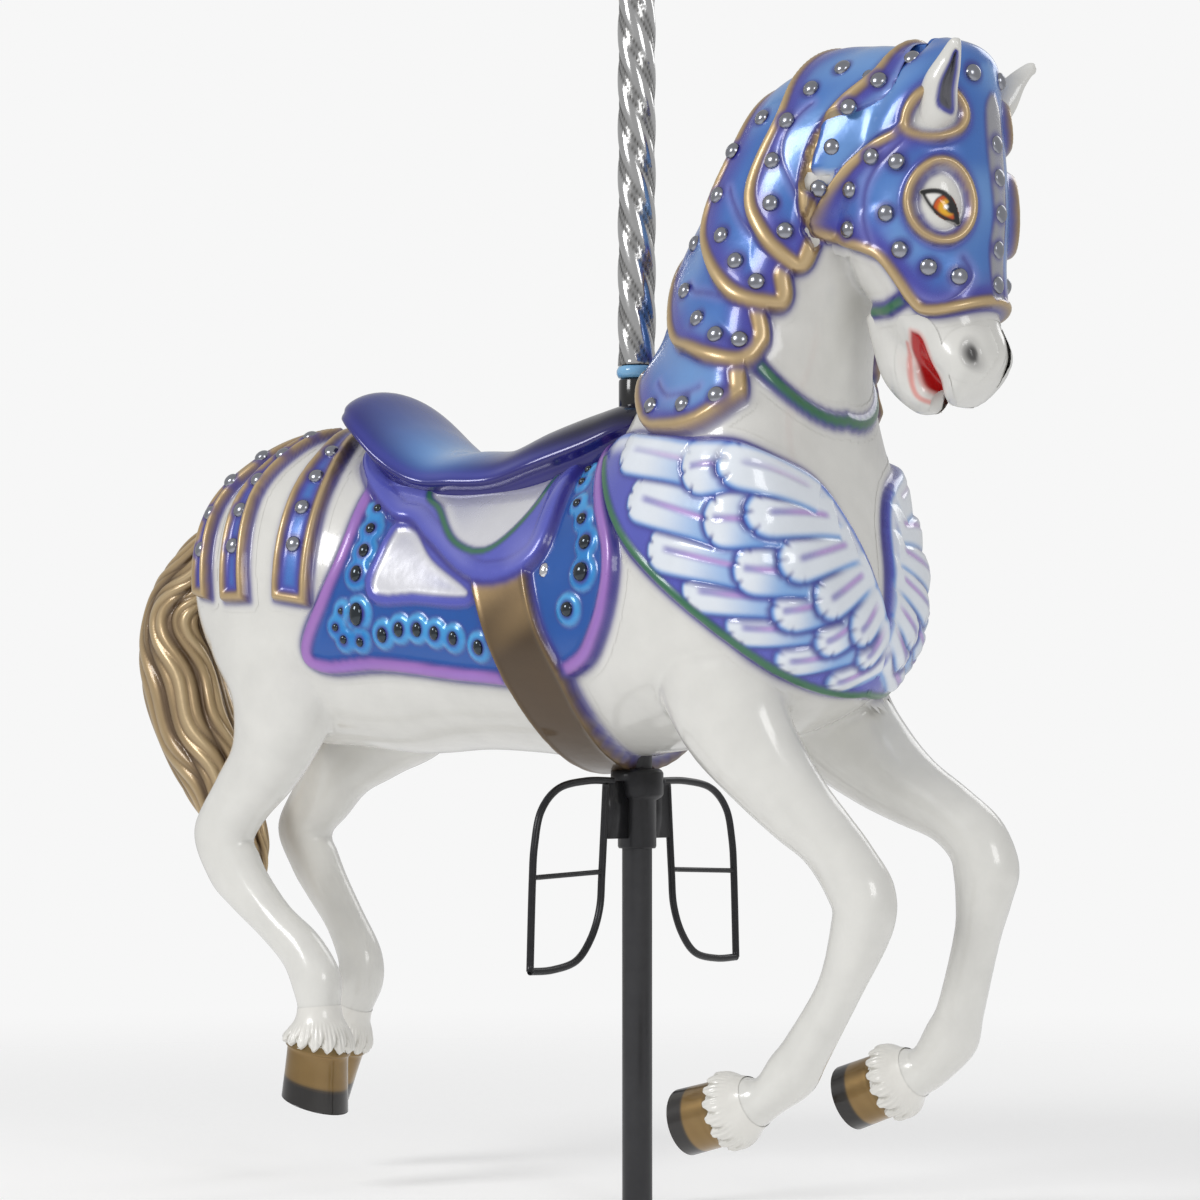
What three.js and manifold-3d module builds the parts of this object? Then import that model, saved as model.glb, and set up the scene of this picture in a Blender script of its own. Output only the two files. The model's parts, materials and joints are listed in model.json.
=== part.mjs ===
// A carousel horse on its pole: a jumping horse with a saddle, blanket, wing-shaped breast plate, neck and face
// armour and rump straps, all carved in one with the horse, and the pole, rings and footrests that carry it.
// Millimetres. +X is the way the horse faces, +Y its left side, +Z up. The origin is the pole's lower end.
import * as THREE from "three";
import { mergeVertices } from "three/addons/utils/BufferGeometryUtils.js";
import Module from "manifold-3d";

const wasm = await Module();
wasm.setup();

// ---- driving dimensions --------------------------------------------------------------------------------------

const GAP = 0.3;
const POLE_RADIUS = 21;
const POLE_TOP = 1870;
const ROUND_SIDES = 16;
const BOSS = { radius: 31, bottom: 607.3, top: 650 };
const COLLAR = { radius: 25.5, bottom: 1098.3, top: 1154 };
const RING = { radius: 28.5, bottom: 1154.3, top: 1173 };
const SLEEVE = { radius: 27.3, groove: 5, bottom: 1173.3, top: 1800, starts: 4, turn: 275 };
const CAP = { radius: 30, bottom: 1800.3, top: 1822 };
const FOOTREST = { collar: 37, collarBottom: 567, collarTop: 607, sleeve: 27, bottom: 496, web: 8, webBottom: 510 };
const BAR_RADIUS = 5.2;
const RUNG_RADIUS = 3.6;
const ROOT = 16;
const LOCK_DEPTH = 0.16;

// ---- geometry helpers ----------------------------------------------------------------------------------------

const lerp = (a, b, t) => a + (b - a) * t;
const radians = (degrees) => (degrees * Math.PI) / 180;

// A row of numbers at position t, from 0 to rows.length - 1, on a smooth curve through the rows.
function along(rows, t) {
  const i = Math.min(Math.max(Math.floor(t), 0), rows.length - 2);
  const f = t - i;
  const at = (k) => rows[Math.min(Math.max(k, 0), rows.length - 1)];
  const [a, b, c, d] = [at(i - 1), at(i), at(i + 1), at(i + 2)].map((row) => [...row, 0].slice(0, 7));
  return b.map((v, k) => {
    const slopeB = (c[k] - a[k]) / 2;
    const slopeC = (d[k] - v) / 2;
    const [f2, f3] = [f * f, f * f * f];
    return (
      v * (2 * f3 - 3 * f2 + 1) +
      slopeB * (f3 - 2 * f2 + f) +
      c[k] * (3 * f2 - 2 * f3) +
      slopeC * (f3 - f2)
    );
  });
}

// The point of a section at angle (degrees from its front or top rail). A section is an oval between two rails
// that lie in the plane of the side view: [rail A x, z, rail B x, z, middle y, half width, narrowing towards A].
function sectionPoint(row, angle) {
  const [ax, az, bx, bz, y, halfWidth, narrowing = 0] = row;
  const [c, s] = [Math.cos(radians(angle)), Math.sin(radians(angle))];
  const across = halfWidth * s * (1 - narrowing * c);
  return new THREE.Vector3(
    lerp(bx, ax, (1 + c) / 2),
    y - across,
    lerp(bz, az, (1 + c) / 2),
  );
}

// Rows [x, z, y, half depth, half width, lean] of a limb become rows with rails. Each section stands square to
// the limb's middle line, turned by lean degrees.
function limb(rows) {
  return rows.map((row, i) => {
    const [before, after] = [rows[Math.max(i - 1, 0)], rows[Math.min(i + 1, rows.length - 1)]];
    const [x, z, y, depth, width, lean = 0, narrowing = 0] = row;
    const heading = Math.atan2(after[1] - before[1], after[0] - before[0]) + Math.PI / 2 + radians(lean);
    const [dx, dz] = [depth * Math.cos(heading), depth * Math.sin(heading)];
    return [x + dx, z + dz, x - dx, z - dz, y, width, narrowing];
  });
}

// Joins rings of points into one closed skin, with a fan over each end.
function skin(rings) {
  const [n, m] = [rings.length, rings[0].length];
  const points = rings.flat();
  const faces = [];
  for (let i = 0; i < n - 1; i++)
    for (let j = 0; j < m; j++) {
      const [a, b] = [i * m + j, i * m + ((j + 1) % m)];
      faces.push(a, a + m, b, b, a + m, b + m);
    }
  for (const end of [0, n - 1]) {
    const middle = points.length;
    points.push(rings[end].reduce((sum, p) => sum.clone().add(p)).clone().divideScalar(m));
    for (let j = 0; j < m; j++) {
      const [a, b] = [end * m + j, end * m + ((j + 1) % m)];
      if (end) faces.push(middle, b, a);
      else faces.push(middle, a, b);
    }
  }
  return solidOf(points, faces);
}

// A closed set of triangles as a solid, turned right side out.
function solidOf(points, faces) {
  const vertProperties = new Float32Array(points.flatMap((p) => [p.x, p.y, p.z]));
  const make = (list) =>
    new wasm.Manifold(new wasm.Mesh({ numProp: 3, vertProperties, triVerts: new Uint32Array(list) }));
  const made = make(faces);
  return made.volume() > 0 ? made : make([...faces].reverse());
}

// A section made larger, so that a polygon with so many sides holds the same area as the oval.
function swollen([ax, az, bx, bz, y, halfWidth, narrowing], sides) {
  const size = Math.sqrt((2 * Math.PI) / sides / Math.sin((2 * Math.PI) / sides));
  const [midX, midZ] = [(ax + bx) / 2, (az + bz) / 2];
  const from = (middle, value) => middle + size * (value - middle);
  return [from(midX, ax), from(midZ, az), from(midX, bx), from(midZ, bz), y, size * halfWidth, narrowing];
}

// A tube with rails: rows of sections, drawn with so many sides, and so many rings for each row. Every other
// corner is pulled in by the groove's share of the way to the middle.
function loft(rows, sides, perRow, groove = 0) {
  const steps = Math.round((rows.length - 1) * perRow);
  const rings = [];
  for (let i = 0; i <= steps; i++) {
    const row = along(rows, (i * (rows.length - 1)) / steps);
    const ring = [];
    const middle = new THREE.Vector3((row[0] + row[2]) / 2, row[4], (row[1] + row[3]) / 2);
    for (let j = 0; j < sides; j++)
      ring.push(sectionPoint(swollen(row, sides), (360 * j) / sides).lerp(middle, (j % 2) * groove));
    rings.push(ring);
  }
  return skin(rings);
}

const join = (solids) => solids.reduce((a, b) => a.add(b));

// The solid without the small pockets that a join can close in: only the outermost of its skins is kept.
function filled(solid) {
  const { triVerts, vertProperties, numProp, numVert } = solid.getMesh();
  const parent = Array.from({ length: numVert }, (_, i) => i);
  const root = (i) => {
    while (parent[i] !== i) i = parent[i] = parent[parent[i]];
    return i;
  };
  for (let t = 0; t < triVerts.length; t += 3)
    for (const k of [1, 2]) parent[root(triVerts[t + k])] = root(triVerts[t]);
  const skins = Map.groupBy(
    Array.from({ length: triVerts.length / 3 }, (_, t) => [...triVerts.subarray(3 * t, 3 * t + 3)]),
    (triangle) => root(triangle[0]),
  );
  const outer = [...skins.values()].reduce((a, b) => (a.length > b.length ? a : b));
  const point = (i) => new THREE.Vector3().fromArray(vertProperties, i * numProp);
  const used = [...new Set(outer.flat())];
  const renumbered = new Map(used.map((vertex, i) => [vertex, i]));
  return solidOf(used.map(point), outer.flat().map((vertex) => renumbered.get(vertex)));
}

// ---- the horse's own form ------------------------------------------------------------------------------------

// Back, crest and poll against belly, chest and throat: [top x, z, bottom x, z, y, half width, narrowing].
const TRUNK = [
  [-740, 930, -735, 850, 0, 60],
  [-715, 1010, -715, 760, 0, 125],
  [-670, 1065, -660, 690, 0, 165],
  [-600, 1090, -580, 650, 0, 185],
  [-510, 1100, -480, 640, 0, 190],
  [-400, 1065, -370, 630, 0, 180],
  [-290, 1020, -260, 635, 0, 180],
  [-180, 1005, -160, 630, 0, 180],
  [-80, 1015, -40, 620, 0, 185],
  [0, 1055, 100, 635, 0, 190, 0.1],
  [45, 1130, 250, 650, 0, 200, 0.2],
  [75, 1190, 350, 695, 0, 205, 0.25],
  [95, 1250, 400, 765, 0, 200, 0.3],
  [115, 1310, 395, 860, 0, 180, 0.3],
  [145, 1380, 365, 960, 0, 155, 0.25],
  [185, 1450, 345, 1065, 0, 135, 0.2],
  [240, 1510, 355, 1160, 0, 120, 0.15],
  [310, 1555, 375, 1235, 0, 110, 0.1],
  [400, 1570, 400, 1290, 0, 100],
  [480, 1555, 450, 1330, 0, 85],
];

const HEAD = [
  [500, 1570, 400, 1480, 0, 55],
  [555, 1545, 380, 1400, 0, 90],
  [565, 1480, 360, 1340, 0, 95],
  [570, 1410, 360, 1290, 0, 100],
  [575, 1340, 380, 1250, 0, 95],
  [570, 1280, 410, 1210, 0, 85],
  [570, 1225, 430, 1175, 0, 70],
  [575, 1190, 455, 1150, 0, 60],
  [590, 1150, 500, 1120, 0, 60],
  [575, 1120, 510, 1090, 0, 50],
  [550, 1095, 525, 1080, 0, 30],
];

const JAW = limb([
  [430, 1215, 0, 45, 50],
  [435, 1180, 0, 42, 46],
  [445, 1140, 0, 38, 44],
  [460, 1115, 0, 32, 42],
  [480, 1095, 0, 25, 35],
  [490, 1090, 0, 13, 20],
]);

// Hooves: [distance from the coronet, half depth, half width, lean] down to the sole.
const FORE_HOOF = [[0, 47, 45, 0], [25, 44, 43, 0], [35, 44, 43, 0], [85, 45, 45, 0]];
const HIND_HOOF = [[0, 42, 40, 0], [25, 48, 46, -8], [35, 45, 45, -12], [105, 50, 49, -14]];

// A hoof's rows from its coronet, along a heading in degrees from +X towards +Z.
function hoof(x, z, y, heading, profile) {
  const [c, s] = [Math.cos(radians(heading)), Math.sin(radians(heading))];
  return profile.map(([far, ...sizes]) => [x + far * c, z + far * s, y, ...sizes]);
}

// [x, z, y, half depth, half width] down each leg to the hoof.
const FORE_RIGHT = limb([
  [200, 810, -100, 120, 70],
  [225, 730, -120, 98, 66],
  [250, 660, -120, 78, 56],
  [290, 605, -115, 62, 50],
  [340, 550, -110, 50, 42],
  [380, 515, -110, 43, 39],
  [410, 480, -110, 43, 38],
  [435, 440, -110, 45, 40],
  [435, 405, -110, 42, 38],
  [400, 320, -110, 30, 29],
  [350, 240, -110, 32, 31],
  [325, 205, -110, 36, 34],
  [290, 175, -110, 28, 30],
  [265, 165, -110, 36, 36],
  ...hoof(240, 155, -110, 195, FORE_HOOF),
]);
const FORE_LEFT = limb([
  [200, 810, 100, 120, 70],
  [210, 735, 120, 108, 70],
  [270, 660, 120, 80, 60],
  [330, 610, 115, 63, 50],
  [385, 575, 110, 50, 42],
  [440, 545, 110, 42, 39],
  [480, 510, 110, 44, 38],
  [495, 470, 110, 46, 40],
  [490, 430, 110, 38, 37],
  [480, 380, 110, 31, 32],
  [455, 285, 110, 32, 31],
  [440, 245, 110, 38, 34],
  [405, 205, 110, 31, 30],
  [380, 195, 110, 36, 36],
  ...hoof(360, 185, 110, 200, FORE_HOOF),
]);
const HIND_RIGHT = limb([
  [-560, 880, -85, 160, 80],
  [-555, 790, -105, 130, 78],
  [-550, 715, -110, 95, 66],
  [-565, 660, -115, 74, 54],
  [-595, 610, -110, 58, 46],
  [-635, 565, -110, 50, 40],
  [-670, 510, -110, 50, 37],
  [-650, 465, -110, 45, 34],
  [-620, 430, -110, 38, 31],
  [-570, 385, -110, 31, 29],
  [-520, 345, -110, 34, 31],
  [-490, 300, -110, 38, 34],
  [-485, 260, -110, 32, 31],
  ...hoof(-485, 230, -110, 266, HIND_HOOF),
]);
const HIND_LEFT = limb([
  [-575, 880, 85, 160, 80],
  [-530, 775, 105, 152, 78],
  [-535, 705, 110, 126, 66],
  [-585, 655, 115, 80, 54],
  [-630, 610, 110, 58, 46],
  [-665, 565, 110, 50, 40],
  [-700, 515, 110, 45, 37],
  [-680, 470, 110, 39, 34],
  [-655, 430, 110, 35, 31],
  [-620, 380, 110, 31, 29],
  [-590, 325, 110, 35, 31],
  [-590, 290, 110, 37, 34],
  [-605, 250, 110, 31, 31],
  ...hoof(-620, 225, 110, 244, HIND_HOOF),
]);

const TAIL = limb([
  [-700, 925, 0, 60, 45],
  [-745, 945, 0, 47, 40],
  [-795, 940, 0, 48, 42],
  [-840, 895, 0, 58, 48],
  [-860, 835, 0, 74, 55],
  [-860, 760, 0, 80, 60],
  [-830, 680, 0, 80, 60],
  [-790, 610, 0, 72, 56],
  [-750, 545, 0, 62, 48],
  [-720, 480, 0, 48, 38],
  [-710, 430, 0, 27, 24],
  [-710, 405, 0, 9, 9],
]);

// Ears: leaf shapes that stand up and forward from the poll.
const EAR = [
  [520, 1450, -65, 30, 24],
  [535, 1480, -75, 30, 24],
  [550, 1500, -85, 26, 20],
  [560, 1520, -95, 17, 12],
  [575, 1540, -100, 5, 4],
];

// ---- relief on the horse -------------------------------------------------------------------------------------

// A place on a tube with rails, lifted from its skin by height. Places are [station, degrees round from rail A].
function lifted(rows, station, angle, height) {
  const at = (s, a) => sectionPoint(along(rows, station + s), angle + a);
  const place = at(0, 0);
  const normal = at(0.05, 0).sub(at(-0.05, 0)).cross(at(0, 2).sub(at(0, -2))).normalize();
  if (normal.dot(place.clone().sub(at(0, 180))) < 0) normal.negate();
  return place.addScaledVector(normal, height);
}

// A raised plate on a tube with rails, in one skin. A net is a list of lines of places. Each course is one line
// of the plate's skin: [position along the net, [[share of the way across, height], ...]]. side -1 mirrors it.
function plate(rows, net, courses, side = 1) {
  const rings = courses.map(([u, profile]) => {
    const place = (v, height) => {
      const [station, angle] = along(net.map((line) => alongEdge(line, v)), u);
      return lifted(rows, station, side * angle, height);
    };
    return [...profile.map(([v, height]) => place(v, height)), place(1, -ROOT), place(0, -ROOT)];
  });
  return skin(rings);
}

const alongEdge = (edge, f) => along(edge, f * (edge.length - 1)).slice(0, 2);
const mix = (p, q, f) => [lerp(p[0], q[0], f), lerp(p[1], q[1], f)];
const ruled = (edgeA, edgeB) => edgeA.map((place, k) => [place, edgeB[k]]);
const mirrored = (edge) => edge.map(([station, angle]) => [station, -angle]);
const both = (make) => [make(1), make(-1)];

// Courses at even steps along a net, all with one profile.
function evenly(net, steps, profile) {
  return Array.from({ length: steps + 1 }, (_, i) => [((net.length - 1) * i) / steps, profile]);
}

// Breast wings. Each line of the net runs from the wing's back edge, with its strap, to its front edge.
const WING = [
  [[9.3, 35], [11.2, 60], [12.8, 100], [14, 145]],
  [[9.7, 75], [11.3, 95], [12.7, 125], [13.7, 165]],
  [[10.4, 110], [11.5, 125], [12.4, 150], [13.2, 170]],
  [[10.9, 145], [11.5, 160], [12.1, 165], [12.6, 175]],
  [[11.1, 184], [11.5, 184], [11.9, 184], [12.2, 184]],
];
const FEATHER_ROWS = 7;
const FEATHERS_IN_ROW = 3;
const FEATHER_HEIGHT = 19;
const WING_HEIGHT = 9;

function wing(side) {
  const rim = [[0, 4], [0.05, WING_HEIGHT + 4]];
  const courses = [[0, [...rim, ...feathers(0, 0), [1, 4]]]];
  for (let row = 0; row < FEATHER_ROWS; row++) {
    const u = (part) => ((WING.length - 1) * (row + part)) / FEATHER_ROWS;
    const shift = 0.35 * (row % 2);
    courses.push([u(0.5), [...rim, ...feathers(shift, 1), [1, 4]]]);
    if (row < FEATHER_ROWS - 1) courses.push([u(1), [...rim, ...feathers(0.2, 0), [1, 4]]]);
  }
  courses.push([WING.length - 1, [...rim, ...feathers(0, 0), [1, 4]]]);
  return plate(TRUNK, WING, courses, side);
}

// Heights along one row of feathers: each rises from its root to its tip and drops to the next one's root.
function feathers(shift, rise) {
  const heights = [];
  for (let k = 0; k < FEATHERS_IN_ROW; k++) {
    const tip = 0.1 + (0.84 * (k + shift)) / FEATHERS_IN_ROW;
    heights.push([tip, WING_HEIGHT - 2 * rise], [tip + 0.04, lerp(WING_HEIGHT, FEATHER_HEIGHT, rise)]);
  }
  return heights;
}

// Neck plates, from the withers to the poll: the lower rim of each, from the crest round to the throat.
const NECK_RIMS = [
  [[10.3, 0], [10.5, 30], [10.8, 55], [11.6, 70], [12.6, 90], [13.4, 100], [14, 110]],
  [[13.1, 0], [12.8, 20], [12.5, 45], [13, 70], [13.6, 90], [14.3, 105], [15.1, 115]],
  [[16.2, 0], [15.7, 25], [14.5, 50], [14.2, 70], [14.6, 90], [15.2, 110], [16, 120]],
  [[17.6, 0], [17, 35], [16.2, 60], [15.6, 75], [15.7, 100], [16.2, 115], [16.9, 125]],
  [[18.5, 0], [18.4, 35], [17.9, 65], [17.1, 85], [16.8, 105], [16.9, 120], [17.3, 135]],
  [[19, 0], [19, 35], [18.9, 65], [18.8, 85], [18.7, 105], [18.6, 120], [18.5, 130]],
];
const PLATE_HEIGHT = 17;

function neckArmour() {
  const whole = (rim) => [...mirrored(rim).reverse(), ...rim.slice(1)];
  const columns = 2 * NECK_RIMS[0].length - 2;
  const profile = (height) =>
    Array.from({ length: columns + 1 }, (_, k) => [k / columns, k % columns ? height : Math.min(height, 6)]);
  const net = [];
  const courses = [];
  const add = (line, height) => courses.push([net.push(whole(line)) - 1, profile(height)]);
  add(NECK_RIMS[0], 0);
  for (let k = 0; k < NECK_RIMS.length - 1; k++) {
    const [rim, next] = [NECK_RIMS[k], NECK_RIMS[k + 1]];
    const between = (f) => rim.map((place, j) => mix(place, [next[j][0], (j < 5 ? 1 : 0.9) * next[j][1]], f));
    add(rim, PLATE_HEIGHT);
    add(between(0.16), 10);
    add(between(0.97), 5);
  }
  return plate(TRUNK, net, courses);
}

// Face armour: its rim runs behind the cheek and over the nose.
const FACE_EDGE = [[0.3, 120], [1.1, 125], [2.2, 135], [3.1, 140], [3.8, 120], [4.6, 105], [5.5, 95], [6.3, 85]];
const NOSE_STRIP = [[1.7, 5], [2.4, 15], [4, 15], [6.1, 10]];

function faceArmour() {
  const field = [[0, 4], [0.05, 13], [0.12, 8], [0.5, 10], [0.88, 8], [0.95, 13], [1, 4]];
  const nose = field.map(([v, height]) => [v, Math.max(height, 13 * Math.sign(v * (1 - v)))]);
  const end = FACE_EDGE.length - 1;
  const net = ruled(FACE_EDGE, mirrored(FACE_EDGE));
  const courses = [...evenly(net, 6, field).slice(0, -1), [end - 0.25, field], [end - 0.2, nose], [end, nose]];
  const strip = ruled(NOSE_STRIP, mirrored(NOSE_STRIP));
  return [plate(HEAD, net, courses), plate(HEAD, strip, evenly(strip, 3, [[0, 6], [0.2, 14], [0.8, 14], [1, 6]]))];
}

// Points round an oval on a tube with rails, with half sizes in stations and degrees.
function oval(rows, centre, half, steps, height, side) {
  return Array.from({ length: steps }, (_, k) => {
    const a = (k * 2 * Math.PI) / steps;
    return lifted(rows, centre[0] + half[0] * Math.cos(a), side * (centre[1] + half[1] * Math.sin(a)), height);
  });
}

const EYE = [3.7, 50];
const EYE_RING = [0.9, 25];
const EYE_BALL = [0.35, 12];
const EAR_ROOT = [1.9, 50];
const EAR_RING = [0.6, 25];

// A raised oval boss: its edge, its flat top and a smaller crown.
function boss(centre, half, height, crown, steps, side) {
  const scaled = (by) => half.map((size) => size * by);
  return skin([
    oval(HEAD, centre, half, steps, 0, side),
    oval(HEAD, centre, scaled(0.95), steps, height, side),
    oval(HEAD, centre, scaled(crown[0]), steps, crown[1], side),
  ]);
}

const headBosses = (side) => [
  boss(EYE, EYE_RING, 20, [0.75, 14], 10, side),
  boss(EYE, EYE_BALL, 16, [0.5, 22], 6, side),
  boss(EAR_ROOT, EAR_RING, 16, [0.7, 12], 8, side),
];

// Rump straps: the middle line of each, from under the cantle down the thigh, and its half width in stations.
const RUMP_STRAPS = [
  [[4.1, 5], [4.3, 30], [4.3, 55], [4.2, 95]],
  [[3.8, 5], [3.5, 30], [3.1, 55], [3.1, 95]],
  [[3.5, 5], [2.9, 30], [2.1, 55], [2.1, 95]],
];
const STRAP_HALF_WIDTHS = [0.16, 0.2, 0.27, 0.3];

function rumpStrap(middle, side) {
  const shifted = (by) => middle.map(([station, angle], k) => [station + by * STRAP_HALF_WIDTHS[k], angle]);
  const net = ruled(shifted(-1), shifted(1));
  return plate(TRUNK, net, evenly(net, 3, [[0, 4], [0.16, 14], [0.84, 14], [1, 4]]), side);
}

// Blanket, saddle flap and girth: the rear and front edge of each, from the top down.
const BLANKET_REAR = [[5.1, 15], [5, 40], [5, 65], [4.7, 90], [4.4, 110], [4.3, 120]];
const BLANKET_FRONT = [[9.3, 20], [9.4, 40], [9.7, 65], [9.6, 90], [9.1, 105], [8.6, 120]];
const FLAP_REAR = [[5, 20], [5.5, 45], [6.2, 50], [6.6, 60], [7, 70], [7.4, 75]];
const FLAP_FRONT = [[8.5, 20], [8.5, 40], [8.5, 55], [8.4, 65], [8.2, 70], [7.9, 75]];
const GIRTH_REAR = [[7.3, 70], [7.4, 90], [7.6, 115], [7.8, 150], [7.8, 184]];
const GIRTH_FRONT = [[8.2, 70], [8.3, 90], [8.5, 115], [8.5, 150], [8.3, 184]];

function saddleCloth(side) {
  const blanket = ruled(BLANKET_REAR, BLANKET_FRONT);
  const field = [[0, 4], [0.05, 13], [0.5, 10], [0.95, 13], [1, 4]];
  const flap = ruled(FLAP_REAR, FLAP_FRONT);
  const girth = ruled(GIRTH_REAR, GIRTH_FRONT);
  return [
    plate(TRUNK, blanket, evenly(blanket, 4, field), side),
    plate(TRUNK, flap, evenly(flap, 4, [[0, 8], [0.1, 20], [0.9, 20], [1, 8]]), side),
    plate(TRUNK, girth, evenly(girth, 4, [[0, 8], [0.1, 21], [0.9, 21], [1, 8]]), side),
  ];
}

// Seat: top and bottom rails and half width, from the cantle to the pommel.
const SADDLE = [
  [-470, 1130, -455, 1095, 0, 60],
  [-465, 1155, -425, 1060, 0, 110],
  [-430, 1160, -385, 1000, 0, 135],
  [-370, 1110, -340, 965, 0, 140],
  [-310, 1070, -290, 945, 0, 130],
  [-245, 1065, -235, 940, 0, 125],
  [-180, 1065, -175, 940, 0, 115],
  [-110, 1090, -105, 950, 0, 110],
  [-40, 1110, -35, 975, 0, 95],
  [15, 1120, 15, 1010, 0, 80],
  [50, 1105, 50, 1050, 0, 45],
];

function horse() {
  const form = join([
    loft(TRUNK, 16, 1),
    loft(HEAD, 14, 1),
    loft(JAW, 10, 1),
    ...[FORE_RIGHT, FORE_LEFT, HIND_RIGHT, HIND_LEFT].map((leg) => loft(leg, 8, 1)),
    loft(TAIL, 14, 1, LOCK_DEPTH),
    ...both((side) => loft(limb(EAR.map(([x, z, y, depth, width]) => [x, z, y * side, depth, width])), 6, 1)),
    loft(SADDLE, 12, 1),
    ...both(saddleCloth).flat(),
    ...both(wing),
    neckArmour(),
    ...faceArmour(),
    ...both(headBosses).flat(),
    ...RUMP_STRAPS.flatMap((middle) => both((side) => rumpStrap(middle, side))),
    cylinder(BOSS.radius, BOSS.bottom, BOSS.top),
  ]);
  return filled(form)
    .subtract(cylinder(POLE_RADIUS + GAP, 0, POLE_TOP))
    .subtract(cylinder(FOOTREST.collar + 2, 0, BOSS.bottom))
    .subtract(cylinder(COLLAR.radius + GAP, COLLAR.bottom - GAP, POLE_TOP))
    .subtract(cylinder(RING.radius + 1, COLLAR.bottom + 20, POLE_TOP));
}

// ---- pole and footrest ---------------------------------------------------------------------------------------

// A solid from one of three's closed geometries.
function solidFrom(geometry) {
  geometry.deleteAttribute("normal");
  geometry.deleteAttribute("uv");
  const merged = mergeVertices(geometry);
  const position = merged.attributes.position;
  const points = Array.from({ length: position.count }, (_, i) => new THREE.Vector3().fromBufferAttribute(position, i));
  return solidOf(points, Array.from(merged.index.array));
}

// A turned solid about the pole's axis: profile points are [radius, height].
function turned(profile, sides = ROUND_SIDES) {
  const points = profile.map(([radius, height]) => new THREE.Vector2(radius, height));
  return solidFrom(new THREE.LatheGeometry(points, sides).rotateX(Math.PI / 2));
}

function cylinder(radius, bottom, top, sides) {
  return turned([[0, bottom], [radius, bottom], [radius, top], [0, top]], sides);
}

const poleHole = () => cylinder(POLE_RADIUS + GAP, -1, POLE_TOP + 1);

// The sleeve's ribs: its corners turn with height, and every third one stands out.
function twistedSleeve() {
  const corners = SLEEVE.starts * 3;
  const courses = Math.round((SLEEVE.top - SLEEVE.bottom) / (SLEEVE.turn / 8));
  const rings = Array.from({ length: courses + 1 }, (_, i) => {
    const z = lerp(SLEEVE.bottom, SLEEVE.top, i / courses);
    return Array.from({ length: corners }, (_, k) => {
      const radius = SLEEVE.radius - (k % 3 ? SLEEVE.groove * 0.7 : 0);
      const a = -(2 * Math.PI * k) / corners - (2 * Math.PI * z) / SLEEVE.turn;
      return new THREE.Vector3(radius * Math.cos(a), radius * Math.sin(a), z);
    });
  });
  return skin(rings).subtract(poleHole());
}

// A round bar along a smooth curve through points [y, z] in the plane across the horse.
function bar(points, radius, steps, side) {
  const path = new THREE.CatmullRomCurve3(points.map(([y, z]) => new THREE.Vector3(0, side * y, z)));
  const section = new THREE.Shape().absarc(0, 0, radius, 0, 2 * Math.PI);
  return solidFrom(new THREE.ExtrudeGeometry(section, { steps, curveSegments: 3, extrudePath: path }));
}

const LOOP_OUTER = [[-60, 590], [-120, 590], [-185, 580], [-225, 550], [-240, 505], [-245, 455], [-250, 335]];
const LOOP_INNER = [[-250, 335], [-200, 335], [-145, 345], [-110, 375], [-90, 415], [-85, 460], [-80, 520],
  [-75, 585]];
const RUNG = [[-245, 460], [-85, 465]];

function footrest() {
  const web = new THREE.BoxGeometry(FOOTREST.web, 150, 80).translate(0, 0, FOOTREST.webBottom + 40);
  const { collar, collarBottom, collarTop, sleeve, bottom } = FOOTREST;
  const loops = both((side) =>
    join([bar(LOOP_OUTER, BAR_RADIUS, 7, side), bar(LOOP_INNER, BAR_RADIUS, 8, side), bar(RUNG, RUNG_RADIUS, 1, side)]));
  return join([
    turned([[0, bottom], [sleeve, bottom + 5], [sleeve, collarBottom], [collar, collarBottom + 3],
      [collar, collarTop - 5], [collar - 5, collarTop], [0, collarTop]]),
    solidFrom(web),
    ...loops,
  ]).subtract(poleHole());
}

// ---- the whole -----------------------------------------------------------------------------------------------

const finish = (color, roughness, metalness = 0) => new THREE.MeshStandardMaterial({ color, roughness, metalness });

function meshOf(name, solid, material) {
  const made = solid.getMesh();
  const points = new Float32Array(made.numVert * 3);
  for (let i = 0; i < made.numVert; i++)
    points.set(made.vertProperties.subarray(i * made.numProp, i * made.numProp + 3), i * 3);
  const geometry = new THREE.BufferGeometry();
  geometry.setAttribute("position", new THREE.BufferAttribute(points, 3));
  geometry.setIndex(new THREE.BufferAttribute(made.triVerts, 1));
  const mesh = new THREE.Mesh(geometry, material);
  mesh.name = name;
  return mesh;
}

const collarHeight = [COLLAR.bottom, COLLAR.top];
const ringHeight = [RING.bottom, RING.top];
const capHeight = [CAP.bottom, CAP.top];

const carousel = new THREE.Group();
carousel.add(
  meshOf("horse", horse(), finish(0xeeeeea, 0.2)),
  meshOf("pole", cylinder(POLE_RADIUS, 0, POLE_TOP), finish(0x4a4a4a, 0.4, 1)),
  meshOf("pole_bush", cylinder(COLLAR.radius, ...collarHeight).subtract(poleHole()), finish(0x151515, 0.3)),
  meshOf("pole_ring", cylinder(RING.radius, ...ringHeight).subtract(poleHole()), finish(0x8fb6d8, 0.3)),
  meshOf("twisted_sleeve", twistedSleeve(), finish(0xd8d8d8, 0.15, 1)),
  meshOf("sleeve_cap", cylinder(CAP.radius, ...capHeight).subtract(poleHole()), finish(0xd8d8d8, 0.15, 1)),
  meshOf("footrest", footrest(), finish(0x4a4a4a, 0.4, 1)),
);
export default carousel;
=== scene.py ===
"""The looks of a carousel horse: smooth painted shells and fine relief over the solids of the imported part.

Lengths are in millimetres until a mesh is made, then in metres. +X is the way the horse faces, +Y its left
side, +Z up. A place on a tube is [station, degrees round from its back, crest or face line].
"""

import json
import math

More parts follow.
